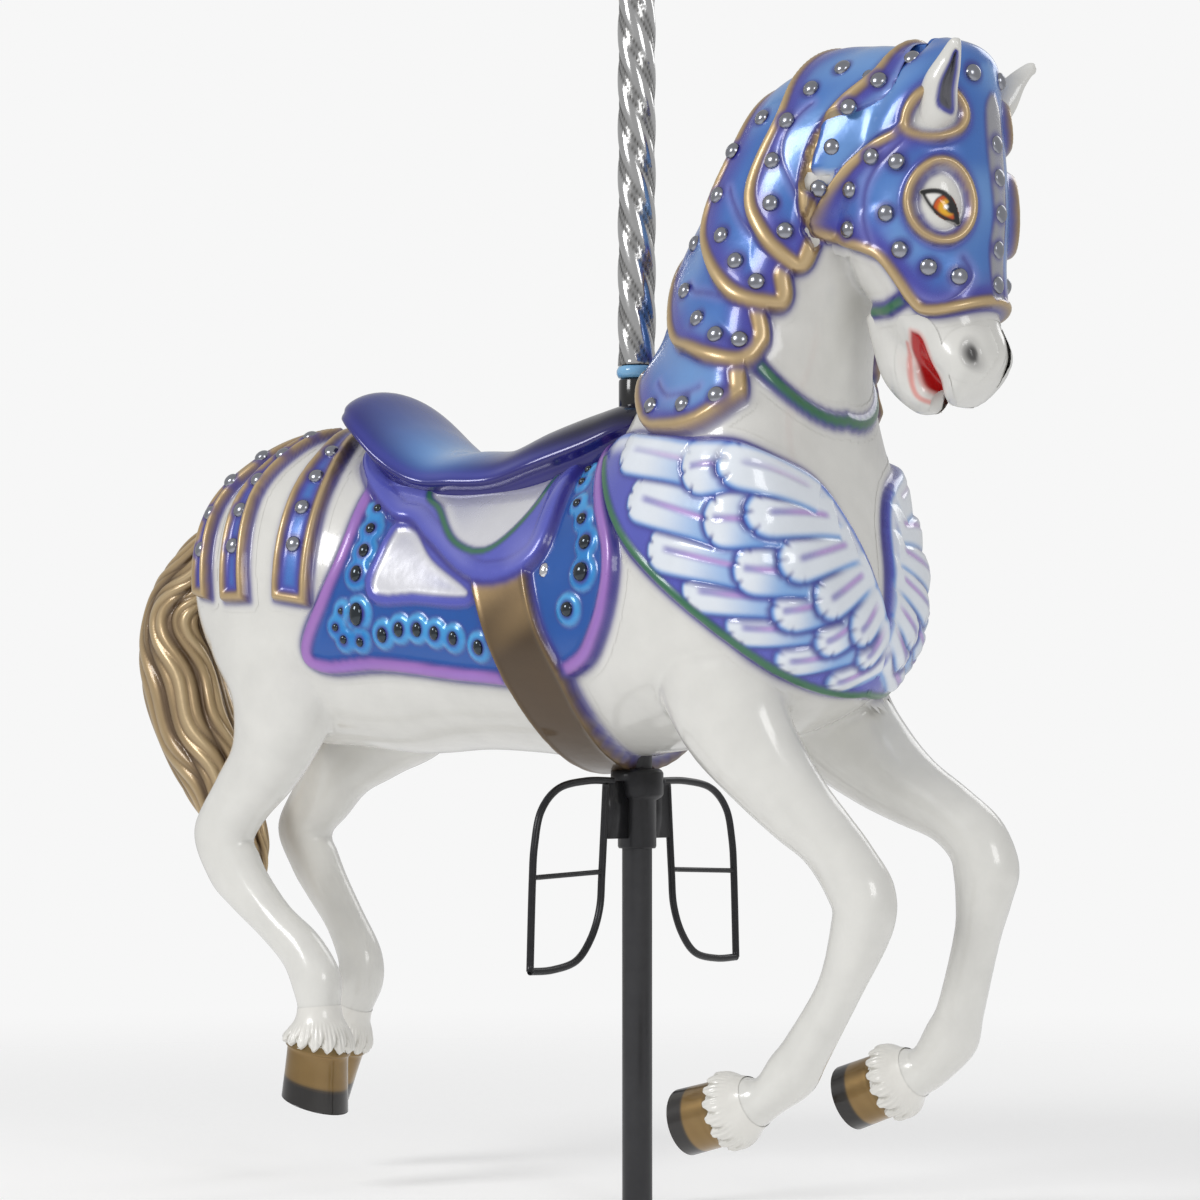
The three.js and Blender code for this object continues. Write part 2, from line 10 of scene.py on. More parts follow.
import bpy
import numpy as np
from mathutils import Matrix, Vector
from mathutils.bvhtree import BVHTree

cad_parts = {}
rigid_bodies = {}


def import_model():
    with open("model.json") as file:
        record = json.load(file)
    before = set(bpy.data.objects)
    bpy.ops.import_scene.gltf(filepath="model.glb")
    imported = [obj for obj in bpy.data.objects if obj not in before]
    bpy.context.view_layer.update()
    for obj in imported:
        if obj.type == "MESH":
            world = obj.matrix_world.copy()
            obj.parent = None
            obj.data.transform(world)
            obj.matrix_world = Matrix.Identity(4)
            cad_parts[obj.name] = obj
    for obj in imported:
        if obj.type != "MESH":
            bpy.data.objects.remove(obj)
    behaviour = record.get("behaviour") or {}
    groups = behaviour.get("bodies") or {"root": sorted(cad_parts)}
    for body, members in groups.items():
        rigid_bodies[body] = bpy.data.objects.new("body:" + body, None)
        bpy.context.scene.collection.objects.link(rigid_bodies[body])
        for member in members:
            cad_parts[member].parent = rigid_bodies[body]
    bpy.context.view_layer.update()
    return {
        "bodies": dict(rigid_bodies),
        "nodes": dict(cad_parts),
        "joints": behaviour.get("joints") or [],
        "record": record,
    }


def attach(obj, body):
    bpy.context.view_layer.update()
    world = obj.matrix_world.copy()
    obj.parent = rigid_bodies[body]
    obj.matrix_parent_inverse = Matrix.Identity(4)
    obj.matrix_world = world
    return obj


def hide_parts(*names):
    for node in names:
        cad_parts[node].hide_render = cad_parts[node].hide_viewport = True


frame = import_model()

# ---- driving dimensions ----

SPACING = 2.6  # of the points of a shell
BODY_VOXEL = 6.2
STATION_SIZE = 65  # about one station's length along the trunk
DEGREE_SIZE = 2.5  # about one degree's length round it
SEAT_REACH = 70  # how far over and under a tube's skin the body's skin is looked for
SEAT_DEPTH = 40
OUTSIDE = -99.0  # a depth far outside every outline
GOLD_RIM = 20
FACE_RIM_WIDTH = 16
RIM_BEAD = 5
EDGE_SOFTNESS = 3.5
ENGRAVED_WIDTH = 3.4
ENGRAVED_DEPTH = 1.6
STUD_RADIUS = 12
STUD_HEIGHT = 8
NOSE_STUD_HEIGHT = 5
# Heights over the skin, of a plate's edge and of its field.
NECK_PLATE_HEIGHTS = (15, 7)
FACE_PLATE_HEIGHTS = (12, 8)
FACE_CORNER_RISE = 6
POLL_HEIGHT = 9
WING_HEIGHT = 9
BLANKET_HEIGHT = 11
RUMP_STRAP_HEIGHT = 11
GIRTH_HEIGHT = 19
FLAP_HEIGHT = 20
PANEL_HEIGHT = 13
TAIL_INSET = 8
POLE_RADIUS = 21
POLE_TOP = 1870
SLEEVE = {"radius": 27.0, "groove": 4.2, "bottom": 1173.3, "top": 1800, "starts": 4, "turn": 275}

# Back, crest and poll against belly, chest and throat: [top x, z, bottom x, z, y, half width, narrowing].
TRUNK = [
    [-740, 930, -735, 850, 0, 60, 0], [-715, 1010, -715, 760, 0, 125, 0],
    [-670, 1065, -660, 690, 0, 165, 0], [-600, 1090, -580, 650, 0, 185, 0],
    [-510, 1100, -480, 640, 0, 190, 0], [-400, 1065, -370, 630, 0, 180, 0],
    [-290, 1020, -260, 635, 0, 180, 0], [-180, 1005, -160, 630, 0, 180, 0],
    [-80, 1015, -40, 620, 0, 185, 0], [0, 1055, 100, 635, 0, 190, 0.1],
    [45, 1130, 250, 650, 0, 200, 0.2], [75, 1190, 350, 695, 0, 205, 0.25],
    [95, 1250, 400, 765, 0, 200, 0.3], [115, 1310, 395, 860, 0, 180, 0.3],
    [145, 1380, 365, 960, 0, 155, 0.25], [185, 1450, 345, 1065, 0, 135, 0.2],
    [240, 1510, 355, 1160, 0, 120, 0.15], [310, 1555, 375, 1235, 0, 110, 0.1],
    [400, 1570, 400, 1290, 0, 100, 0], [480, 1555, 450, 1330, 0, 85, 0],
]
HEAD = [
    [500, 1570, 400, 1480, 0, 55, 0], [555, 1545, 380, 1400, 0, 90, 0],
    [565, 1480, 360, 1340, 0, 95, 0], [570, 1410, 360, 1290, 0, 100, 0],
    [575, 1340, 380, 1250, 0, 95, 0], [570, 1280, 410, 1210, 0, 85, 0],
    [570, 1225, 430, 1175, 0, 70, 0], [575, 1190, 455, 1150, 0, 60, 0],
    [590, 1150, 500, 1120, 0, 60, 0], [575, 1120, 510, 1090, 0, 50, 0],
    [550, 1095, 525, 1080, 0, 30, 0],
]
SADDLE = [
    [-470, 1130, -455, 1095, 0, 60, 0], [-465, 1155, -425, 1060, 0, 110, 0],
    [-430, 1160, -385, 1000, 0, 135, 0], [-370, 1110, -340, 965, 0, 140, 0],
    [-310, 1070, -290, 945, 0, 130, 0], [-245, 1065, -235, 940, 0, 125, 0],
    [-180, 1065, -175, 940, 0, 115, 0], [-110, 1090, -105, 950, 0, 110, 0],
    [-40, 1110, -35, 975, 0, 95, 0], [15, 1120, 15, 1010, 0, 80, 0],
    [50, 1105, 50, 1050, 0, 45, 0],
]
# Limbs: [x, z, y, half depth, half width, lean].
JAW = [
    [430, 1215, 0, 45, 50, 0], [435, 1180, 0, 42, 46, 0], [445, 1140, 0, 38, 44, 0],
    [460, 1115, 0, 32, 42, 0], [480, 1095, 0, 25, 35, 0], [490, 1090, 0, 13, 20, 0],
]
# Hooves: [distance from the coronet, half depth, half width, lean] down to the sole.
FORE_HOOF = [(0, 47, 45, 0), (25, 44, 43, 0), (35, 44, 43, 0), (85, 45, 45, 0)]
HIND_HOOF = [(0, 42, 40, 0), (25, 48, 46, -8), (35, 45, 45, -12), (105, 50, 49, -14)]


def hoof(x, z, y, heading, profile):
    """A hoof's rows from its coronet, along a heading in degrees from +X towards +Z."""
    c, n = math.cos(math.radians(heading)), math.sin(math.radians(heading))
    return [[x + far * c, z + far * n, y, depth, width, lean] for far, depth, width, lean in profile]


FORE_RIGHT = [
    [200, 810, -100, 120, 70, 0], [225, 730, -120, 98, 66, 0], [250, 660, -120, 78, 56, 0],
    [290, 605, -115, 62, 50, 0], [340, 550, -110, 50, 42, 0], [380, 515, -110, 43, 39, 0],
    [410, 480, -110, 43, 38, 0], [435, 440, -110, 45, 40, 0], [435, 405, -110, 42, 38, 0],
    [400, 320, -110, 30, 29, 0], [350, 240, -110, 32, 31, 0], [325, 205, -110, 36, 34, 0],
    [290, 175, -110, 28, 30, 0], [265, 165, -110, 36, 36, 0], *hoof(240, 155, -110, 195, FORE_HOOF),
]
FORE_LEFT = [
    [200, 810, 100, 120, 70, 0], [210, 735, 120, 108, 70, 0], [270, 660, 120, 80, 60, 0],
    [330, 610, 115, 63, 50, 0], [385, 575, 110, 50, 42, 0], [440, 545, 110, 42, 39, 0],
    [480, 510, 110, 44, 38, 0], [495, 470, 110, 46, 40, 0], [490, 430, 110, 38, 37, 0],
    [480, 380, 110, 31, 32, 0], [455, 285, 110, 32, 31, 0], [440, 245, 110, 38, 34, 0],
    [405, 205, 110, 31, 30, 0], [380, 195, 110, 36, 36, 0], *hoof(360, 185, 110, 200, FORE_HOOF),
]
HIND_RIGHT = [
    [-560, 880, -85, 160, 80, 0], [-555, 790, -105, 130, 78, 0], [-550, 715, -110, 95, 66, 0],
    [-565, 660, -115, 74, 54, 0], [-595, 610, -110, 58, 46, 0], [-635, 565, -110, 50, 40, 0],
    [-670, 510, -110, 50, 37, 0], [-650, 465, -110, 45, 34, 0], [-620, 430, -110, 38, 31, 0],
    [-570, 385, -110, 31, 29, 0], [-520, 345, -110, 34, 31, 0], [-490, 300, -110, 38, 34, 0],
    [-485, 260, -110, 32, 31, 0], *hoof(-485, 230, -110, 266, HIND_HOOF),
]
HIND_LEFT = [
    [-575, 880, 85, 160, 80, 0], [-530, 775, 105, 152, 78, 0], [-535, 705, 110, 126, 66, 0],
    [-585, 655, 115, 80, 54, 0], [-630, 610, 110, 58, 46, 0], [-665, 565, 110, 50, 40, 0],
    [-700, 515, 110, 45, 37, 0], [-680, 470, 110, 39, 34, 0], [-655, 430, 110, 35, 31, 0],
    [-620, 380, 110, 31, 29, 0], [-590, 325, 110, 35, 31, 0], [-590, 290, 110, 37, 34, 0],
    [-605, 250, 110, 31, 31, 0], *hoof(-620, 225, 110, 244, HIND_HOOF),
]
TAIL = [
    [-700, 925, 0, 60, 45, 0], [-745, 945, 0, 47, 40, 0], [-795, 940, 0, 48, 42, 0],
    [-840, 895, 0, 58, 48, 0], [-860, 835, 0, 74, 55, 0], [-860, 760, 0, 80, 60, 0],
    [-830, 680, 0, 80, 60, 0], [-790, 610, 0, 72, 56, 0], [-750, 545, 0, 62, 48, 0],
    [-720, 480, 0, 48, 38, 0], [-710, 430, 0, 27, 24, 0], [-710, 405, 0, 9, 9, 0],
]
EAR = [
    [510, 1445, -60, 32, 28, 0], [530, 1475, -70, 30, 27, 0], [545, 1500, -85, 24, 21, 0],
    [560, 1525, -90, 17, 13, 0], [575, 1545, -100, 9, 7, 0], [580, 1550, -100, 2, 2, 0],
]

# ---- colours: sRGB 0 to 255, then metalness and roughness ----

WHITE = (226, 225, 220, 0, 0.22)
OUTLINE = (54, 48, 140, 0, 0.3)
SHADOW_BLUE = (70, 70, 166, 0.1, 0.26)
BLUE = (64, 116, 196, 0.15, 0.24)
SKY = (120, 168, 226, 0.15, 0.22)
LILAC_BLUE = (138, 140, 214, 0.15, 0.25)
GOLD = (182, 154, 108, 0.45, 0.36)
# The next two are the gold as lit and as shaded: a painted highlight for a rim's crest and painted shade for
# its edges.
GOLD_PAINTED_HIGHLIGHT = (212, 186, 142, 0.45, 0.34)
GOLD_PAINTED_SHADE = (122, 96, 74, 0.4, 0.4)
PERIWINKLE = (86, 92, 190, 0.1, 0.24)
GREEN = (52, 112, 78, 0.1, 0.3)
PINK = (166, 116, 192, 0.05, 0.28)
AQUA = (22, 130, 208, 0.1, 0.22)
AQUA_LIGHT = (86, 182, 240, 0.1, 0.2)
AQUA_DEEP = (14, 84, 168, 0.1, 0.22)
SILVER = (226, 226, 232, 0.35, 0.24)
SILVER_CLOUD = (158, 160, 196, 0.35, 0.3)
BRONZE = (168, 140, 98, 0.6, 0.34)
BRONZE_DARK = (72, 54, 34, 0.5, 0.42)
FEATHER_WHITE = (232, 238, 246, 0, 0.2)
FEATHER_BLUE = (150, 190, 236, 0, 0.22)
FEATHER_DEEP = (70, 138, 222, 0, 0.24)
QUILL = (196, 160, 222, 0, 0.25)
QUILL_DARK = (118, 110, 190, 0, 0.28)
BLACK = (10, 10, 12, 0, 0.2)
RED = (196, 26, 26, 0, 0.2)
LIP = (226, 120, 110, 0, 0.25)
INDIGO = (38, 32, 112, 0.1, 0.2)
NAVY = (14, 14, 40, 0.1, 0.2)
# The seat's paint: a soft and a bright painted highlight on the seat, a painted highlight along the rim and
# painted shade under the lip.
SEAT_SOFT_HIGHLIGHT = (58, 92, 196, 0.1, 0.2)
SEAT_HIGHLIGHT = (104, 172, 240, 0.1, 0.2)
SEAT_RIM_HIGHLIGHT = (58, 66, 176, 0.1, 0.2)
SEAT_UNDERSIDE_SHADE = (40, 36, 120, 0.1, 0.3)
SOCKET_GREY = (196, 196, 196, 0, 0.25)
STRIP_SILVER = (172, 172, 178, 0.6, 0.24)
NOSTRIL_GREY = (120, 118, 118, 0, 0.35)
NOSTRIL_DARK = (48, 46, 46, 0, 0.45)
RED_EDGE = (150, 20, 20, 0, 0.25)
RED_DEEP = (150, 10, 12, 0, 0.3)
EYE_WHITE = (240, 238, 234, 0, 0.15)
IRIS_EDGE = (70, 26, 8, 0, 0.15)
IRIS_ORANGE = (206, 84, 20, 0, 0.15)
IRIS_YELLOW = (236, 178, 30, 0, 0.15)
GLINT = (255, 255, 255, 0, 0.1)
PINK_SHADE = (140, 104, 200, 0.05, 0.3)
HAIR = (178, 152, 112, 0.45, 0.34)
# The next two are painted shade for the grooves between the locks and a painted highlight for their crests.
HAIR_GROOVE_SHADE = (92, 70, 46, 0.4, 0.42)
HAIR_CREST_HIGHLIGHT = (214, 192, 152, 0.45, 0.3)
EAR_OUTLINE = (74, 76, 160, 0, 0.3)
EAR_HOLLOW = (84, 84, 92, 0, 0.4)
HOOF = (146, 118, 72, 0.75, 0.3)
HOOF_GRAIN = (120, 92, 50, 0.7, 0.35)
HOOF_FOOT = (26, 22, 20, 0.1, 0.35)
# Painted shade for the top of a hoof, under the fur fringe.
HOOF_SHADE = (96, 84, 44, 0.5, 0.4)
FUR = (232, 230, 224, 0, 0.3)
# Painted shade for the gaps between the fur locks.
FUR_SHADE = (146, 142, 126, 0, 0.4)
RIB_BRIGHT = (206, 206, 206, 1, 0.14)
# Painted shade for the sleeve's grooves.
RIB_GROOVE_SHADE = (74, 72, 68, 0.9, 0.35)


def paint_of(colour):
    """A colour as linear red, green and blue, metalness and roughness."""
    rgb = [(c / 255 / 12.92 if c < 10.3 else ((c / 255 + 0.055) / 1.055) ** 2.4) for c in colour[:3]]
    return np.array(rgb + list(colour[3:]))


def coated(count, colour):
    """Paint of one colour for so many points."""
    return np.tile(paint_of(colour), (count, 1))


def tint(paint, cover, colour):
    """Lays a colour over paint, by a cover from 0 to 1 for each point."""
    paint += np.clip(cover, 0, 1)[:, None] * (paint_of(colour) - paint)


# ---- maths on tubes ----


def along(rows, t):
    """Rows at positions t, from 0 to len(rows) - 1, on a smooth curve through them."""
    rows, t = np.asarray(rows, float), np.asarray(t, float)
    last = len(rows) - 1
    i = np.clip(np.floor(t).astype(int), 0, last - 1)
    f = (t - i)[..., None]
    a, b, c, d = (rows[np.clip(i + k, 0, last)] for k in (-1, 0, 1, 2))
    rise = (c - a) / 2 * (f**3 - 2 * f**2 + f) + (d - b) / 2 * (f**3 - f**2)
    return b * (2 * f**3 - 3 * f**2 + 1) + c * (3 * f**2 - 2 * f**3) + rise


def surface(rows, station, angle):
    """Points of a tube's skin, and the directions out of it."""

    def at(s, a):
        row = along(rows, s)
        c, n = np.cos(np.radians(a)), np.sin(np.radians(a))
        share = (1 + c) / 2
        return np.stack(
            [
                row[..., 2] + (row[..., 0] - row[..., 2]) * share,
                row[..., 4] - row[..., 5] * n * (1 - row[..., 6] * c),
                row[..., 3] + (row[..., 1] - row[..., 3]) * share,
            ],
            -1,
        )

    station, angle = np.broadcast_arrays(np.asarray(station, float), np.asarray(angle, float))
    points = at(station, angle)
    onward = at(station + 0.04, angle) - at(station - 0.04, angle)
    around = at(station, angle + 2) - at(station, angle - 2)
    out = np.cross(onward, around)
    out /= np.linalg.norm(out, axis=-1, keepdims=True) + 1e-9
    flip = np.sign(((points - at(station, angle + 180)) * out).sum(-1, keepdims=True))
    return points, out * flip


def limb(rows):
    """A limb's rows as a tube's rows, each section square to the middle line and then leaned."""
    made = []
    for i, (x, z, y, depth, width, lean) in enumerate(rows):
        before, after = rows[max(i - 1, 0)], rows[min(i + 1, len(rows) - 1)]
        heading = math.atan2(after[1] - before[1], after[0] - before[0]) + math.pi / 2 + math.radians(lean)
        dx, dz = depth * math.cos(heading), depth * math.sin(heading)
        made.append([x + dx, z + dz, x - dx, z - dz, y, width, 0])
    return made


def smooth(low, high, x):
    t = np.clip((x - low) / (high - low), 0, 1)
    return t * t * (3 - 2 * t)


def ripple(p, size, seed=0):
    """A soft cloudy value, from 0 to 1, with patches of about the given size in millimetres."""
    q = p / size
    total = np.zeros(len(p))
    for k in range(1, 5):
        turn = seed * 1.7 + k * 2.1
        wave = q @ np.array([math.cos(turn), math.sin(turn * 1.3), math.cos(turn * 0.7)])
        bend = np.sin(q @ np.array([0.5, 0.3 * k, -0.4]) + turn)
        total += np.sin(wave * (1 + 0.35 * k) + 1.9 * k + 1.3 * bend)
    return 0.5 + total / 8


def distance(points, line):
    """Distance from each point to a broken line."""
    best = np.full(len(points), 1e12)
    low, high = line.min(0) - 90, line.max(0) + 90
    near = np.flatnonzero(((points > low) & (points < high)).all(1))
    close = points[near]
    least = np.full(len(near), 1e12)
    for a, b in zip(line[:-1], line[1:]):
        d = b - a
        t = np.clip(((close - a) @ d) / (d @ d + 1e-9), 0, 1)
        least = np.minimum(least, ((close - a - t[:, None] * d) ** 2).sum(1))
    best[near] = least
    return np.sqrt(best)


def within(station, angle, polygon):
    """Which places lie inside a polygon of places."""
    inside = np.zeros(len(station), bool)
    for (s0, a0), (s1, a1) in zip(polygon, np.roll(polygon, -1, 0)):
        crosses = (a0 > angle) != (a1 > angle)
        inside ^= crosses & (station < (s1 - s0) * (angle - a0) / (a1 - a0 + 1e-12) + s0)
    return inside


def curve(places, steps=6):
    """Places on a smooth curve through the given ones."""
    return along(places, np.linspace(0, len(places) - 1, (len(places) - 1) * steps + 1))


def spread(places, count):
    """Places spaced evenly along a smooth curve through a few."""
    fine = curve(places, 12)
    steps = np.hypot(*(np.diff(fine[:, :2], axis=0) * (STATION_SIZE, DEGREE_SIZE)).T)
    run = np.concatenate([[0], np.cumsum(steps)])
    at = np.linspace(0, run[-1], count)
    return [tuple(np.interp(distance_along, run, column) for column in fine.T) for distance_along in at]


def oval(centre, half, lean=0.0, count=32):
    """An oval of places, with half sizes in stations and degrees, that leans by so many stations a degree."""
    turn = np.arange(count + 1) * 2 * math.pi / count
    rise = half[1] * np.sin(turn)
    return np.stack([centre[0] + half[0] * np.cos(turn) + lean * rise, centre[1] + rise], 1)


def almond(start, end, bulges, count=14):
    """Two arcs of places between two corners, each standing off the straight line by its own bulge in mm."""
    size = np.array([STATION_SIZE, DEGREE_SIZE])
    start, end = np.array(start, float), np.array(end, float)
    chord = (end - start) * size
    across = np.array([-chord[1], chord[0]]) / np.hypot(*chord) / size
    share = np.linspace(0, 1, count)[:, None]
    return [start + share * (end - start) + np.sin(math.pi * share) * bulge * across for bulge in bulges]


# ---- meshes ----


def mesh_object(name, points, faces, paint=None, material=None, slot="horse_paint"):
    """A smooth-shaded piece on the part's body, from points in millimetres."""
    mesh = bpy.data.meshes.new(name)
    mesh.from_pydata((np.asarray(points) / 1000).tolist(), [], [list(f) for f in faces])
    if paint is not None:
        colour = np.ones((len(points), 4))
        colour[:, :3] = np.clip(paint[:, :3], 0, 1)
        mesh.attributes.new("paint", "FLOAT_COLOR", "POINT").data.foreach_set("color", colour.ravel())
        for k, attribute in ((3, "metal"), (4, "rough")):
            mesh.attributes.new(attribute, "FLOAT", "POINT").data.foreach_set("value", paint[:, k].copy())
    mesh.polygons.foreach_set("use_smooth", [True] * len(mesh.polygons))
    mesh.update()
    piece = bpy.data.objects.new(name, mesh)
    bpy.context.scene.collection.objects.link(piece)
    if material:
        mesh.materials.append(material)
    if slot:
        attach(piece, "root")
    return piece


def grid_faces(rows, columns, around=False):
    """Quads of a grid of points, which may close on itself across its columns."""
    i, j = np.meshgrid(np.arange(rows - 1), np.arange(columns if around else columns - 1), indexing="ij")
    a, b = i * columns + j, i * columns + (j + 1) % columns
    return np.stack([a, b, b + columns, a + columns], -1).reshape(-1, 4)


def caps(count, sides):
    """The two end faces of a tube of so many points."""
    return [list(range(sides)), list(range(count - sides, count))[::-1]]


def tube(rows, sides, per_row, shape=None, start=0, end=None):
    """Points and faces of a closed tube. shape(station, angle) gives a height for each point."""
    last = len(rows) - 1 if end is None else end
    stations = np.linspace(start, last, int((last - start) * per_row) + 1)
    angles = np.arange(sides) * 360 / sides
    s, a = (g.ravel() for g in np.meshgrid(stations, angles, indexing="ij"))
    points, out = surface(rows, s, a)
    if shape:
        points = points + out * shape(s, a)[:, None]
    faces = grid_faces(len(stations), sides, True).tolist()
    return points, faces + caps(len(points), sides), s, a


def turned(profile, sides=64):
    """Points and faces of a ring turned about the pole's axis, from its [radius, height] outline."""
    ring = np.arange(sides) * 2 * math.pi / sides
    points = [[r * math.cos(t), r * math.sin(t), z] for r, z in profile for t in ring]
    n = len(profile)
    faces = []
    for i in range(n):
        for j in range(sides):
            k, m = (i + 1) % n, (j + 1) % sides
            faces.append([i * sides + j, i * sides + m, k * sides + m, k * sides + j])
    return np.array(points), faces


def pipe(path, radius, sides=14):
    """Points and faces of a round bar along a smooth curve through points."""
    line = along(path, np.linspace(0, len(path) - 1, (len(path) - 1) * 8 + 1))
    ahead = np.gradient(line, axis=0)
    ahead /= np.linalg.norm(ahead, axis=1, keepdims=True)
    side = np.tile([1.0, 0.0, 0.0], (len(line), 1))
    up = np.cross(ahead, side)
    up /= np.linalg.norm(up, axis=1, keepdims=True)
    turn = np.arange(sides) * 2 * math.pi / sides
    ring = side[:, None] * np.cos(turn)[None, :, None] + up[:, None] * np.sin(turn)[None, :, None]
    points = (line[:, None] + radius * ring).reshape(-1, 3)
    faces = grid_faces(len(line), sides, True).tolist()
    return points, faces + caps(len(points), sides)


def merged(parts):
    """Several (points, faces) as one."""
    points, faces = [], []
    for p, f in parts:
        shift = sum(len(q) for q in points)
        points.append(np.asarray(p))
        faces += [[k + shift for k in face] for face in f]
    return np.concatenate(points), faces


# ---- materials ----


def adjust(made, **settings):
    """Sets a node's properties and inputs by name, with _ for each space in an input's name."""
    for key, value in settings.items():
        if hasattr(made, key):
            setattr(made, key, value)
        else:
            made.inputs[key.replace("_", " ")].default_value = value
    return made


def node(tree, kind, **settings):
    return adjust(tree.nodes.new(kind), **settings)


def noise(tree, scale, detail=4):
    """Noise in the object's own coordinates, in metres."""
    made = node(tree, "ShaderNodeTexNoise", Scale=scale, Detail=detail)
    tree.links.new(node(tree, "ShaderNodeTexCoord").outputs["Object"], made.inputs["Vector"])
    return made.outputs["Fac"]


def new_material(name):
    material = bpy.data.materials.new(name)
    material.use_nodes = True
    tree = material.node_tree
    return material, tree, tree.nodes["Principled BSDF"]


def bump(tree, shader, source, strength, depth):
    made = node(tree, "ShaderNodeBump", Strength=strength, Distance=depth)
    tree.links.new(source, made.inputs["Height"])
    tree.links.new(made.outputs["Normal"], shader.inputs["Normal"])


def ranged(tree, source, low, high, **settings):
    """A value brought from 0 to 1, or from its own range, to low to high."""
    made = node(tree, "ShaderNodeMapRange", To_Min=low, To_Max=high, **settings)
    tree.links.new(source, made.inputs["Value"])
    return made.outputs["Result"]


def airbrushed(name, coat=0.6):
    """Hand-sprayed gloss paint: its colour, metal flake and roughness are on the mesh, and vary a little."""
    material, tree, shader = new_material(name)
    colour, metal, rough = (
        node(tree, "ShaderNodeAttribute", attribute_name=layer) for layer in ("paint", "metal", "rough")
    )
    mixed = node(tree, "ShaderNodeVectorMath", operation="SCALE")
    tree.links.new(colour.outputs["Color"], mixed.inputs[0])
    tree.links.new(ranged(tree, noise(tree, 22), 0.9, 1.07), mixed.inputs["Scale"])
    tree.links.new(mixed.outputs["Vector"], shader.inputs["Base Color"])
    tree.links.new(metal.outputs["Fac"], shader.inputs["Metallic"])
    uneven = node(tree, "ShaderNodeMath", operation="ADD")
    tree.links.new(rough.outputs["Fac"], uneven.inputs[0])
    tree.links.new(ranged(tree, noise(tree, 60), -0.05, 0.08), uneven.inputs[1])
    tree.links.new(uneven.outputs["Value"], shader.inputs["Roughness"])
    adjust(shader, Coat_Weight=coat, Coat_Roughness=0.08)
    bump(tree, shader, noise(tree, 38, 2), 0.12, 0.004)
    return material


def plain(name, colour, metal, rough, scale=90, coat=0.0, grain=0.12):
    """One colour with a fine uneven finish."""
    material, tree, shader = new_material(name)
    ramp = node(tree, "ShaderNodeValToRGB")
    base = paint_of(colour)[:3]
    ramp.color_ramp.elements[0].color = (*(base * (1 - grain)), 1)
    ramp.color_ramp.elements[1].color = (*np.clip(base * (1 + grain), 0, 1), 1)
    texture = noise(tree, scale)
    tree.links.new(texture, ramp.inputs["Fac"])
    tree.links.new(ramp.outputs["Color"], shader.inputs["Base Color"])
    tree.links.new(ranged(tree, texture, rough * 0.8, rough * 1.25), shader.inputs["Roughness"])
    adjust(shader, Metallic=metal, Coat_Weight=coat)
    bump(tree, shader, texture, 0.08, 0.001)
    return material


PAINT = airbrushed("horse_paint")
METAL = airbrushed("sleeve_metal", 0)
CHROME = plain("stud_silver", (158, 160, 168), 1, 0.22, 60, grain=0.1)
GEM = plain("dark_gem", (44, 54, 62), 1, 0.1, 60, coat=1.0, grain=0.2)
DARK_STEEL = plain("dark_steel", (64, 64, 66), 0.7, 0.4, 40, grain=0.2)
BLACK_STEEL = plain("footrest_black", (34, 34, 37), 0.5, 0.38, 120, coat=0.2, grain=0.3)
POLISHED = plain("polished_metal", (226, 226, 228), 1, 0.13, 25, grain=0.05)
GLOSS_BLACK = plain("bush_black", (14, 14, 16), 0, 0.16, 50, coat=0.5)
RING_BLUE = plain("ring_blue", (128, 184, 226), 0, 0.2, 50, coat=0.5)

# ---- the white body ----

HOOF_CUT = 2.5  # rows above the sole where the skin of a leg ends
HOOF_TOP = 3.6  # rows above the sole where a hoof starts
LEGS = {"fore_right": FORE_RIGHT, "fore_left": FORE_LEFT, "hind_right": HIND_RIGHT, "hind_left": HIND_LEFT}


def relaxed(points, edges, rounds):
    """Points evened out along their edges, without shrinking the whole."""
    a, b = edges[:, 0], edges[:, 1]
    count = np.bincount(edges.ravel(), minlength=len(points))[:, None]
    for k in range(rounds):
        total = np.zeros_like(points)
        for axis in range(3):
            forward = np.bincount(a, points[b, axis], len(points))
            total[:, axis] = forward + np.bincount(b, points[a, axis], len(points))
        points = points + (0.5 if k % 2 == 0 else -0.52) * (total / np.maximum(count, 1) - points)
    return points


def body_form():
    """Trunk, head, jaw and legs melted into one smooth skin."""
    parts = [tube(TRUNK, 96, 6)[:2], tube(HEAD, 72, 6)[:2], tube(limb(JAW), 48, 8)[:2]]
    parts += [tube(limb(rows), 48, 5, end=len(rows) - HOOF_CUT)[:2] for rows in LEGS.values()]
    rough = mesh_object("rough_form", *merged(parts), slot=None)
    modifier = rough.modifiers.new("melt", "REMESH")
    modifier.mode = "VOXEL"
    modifier.voxel_size = BODY_VOXEL / 1000
    graph = bpy.context.evaluated_depsgraph_get()
    made = bpy.data.meshes.new_from_object(rough.evaluated_get(graph))
    bpy.data.objects.remove(rough)
    points = np.zeros(len(made.vertices) * 3)
    made.vertices.foreach_get("co", points)
    edges = np.zeros(len(made.edges) * 2, int)
    made.edges.foreach_get("vertices", edges)
    faces = [list(p.vertices) for p in made.polygons]
    bpy.data.meshes.remove(made)
    return relaxed(points.reshape(-1, 3) * 1000, edges.reshape(-1, 2), 24), faces


body_points, body_faces = body_form()
BODY = BVHTree.FromPolygons(body_points.tolist(), body_faces)


def sunk(points, places, depth):
    """Points moved in towards the middle near each [x, z] place of the head, to make room for hollows."""
    shift = np.zeros(len(points))
    for x, z, radius in places:
        away = np.hypot(points[:, 0] - x, points[:, 2] - z)
        shift = np.maximum(shift, depth * (1 - smooth(radius * 0.5, radius, away)))
    side = np.sign(points[:, 1])
    moved = points.copy()
    moved[:, 1] -= side * np.minimum(shift, np.abs(points[:, 1]) * 0.9)
    return moved


# ---- decorated shells ----


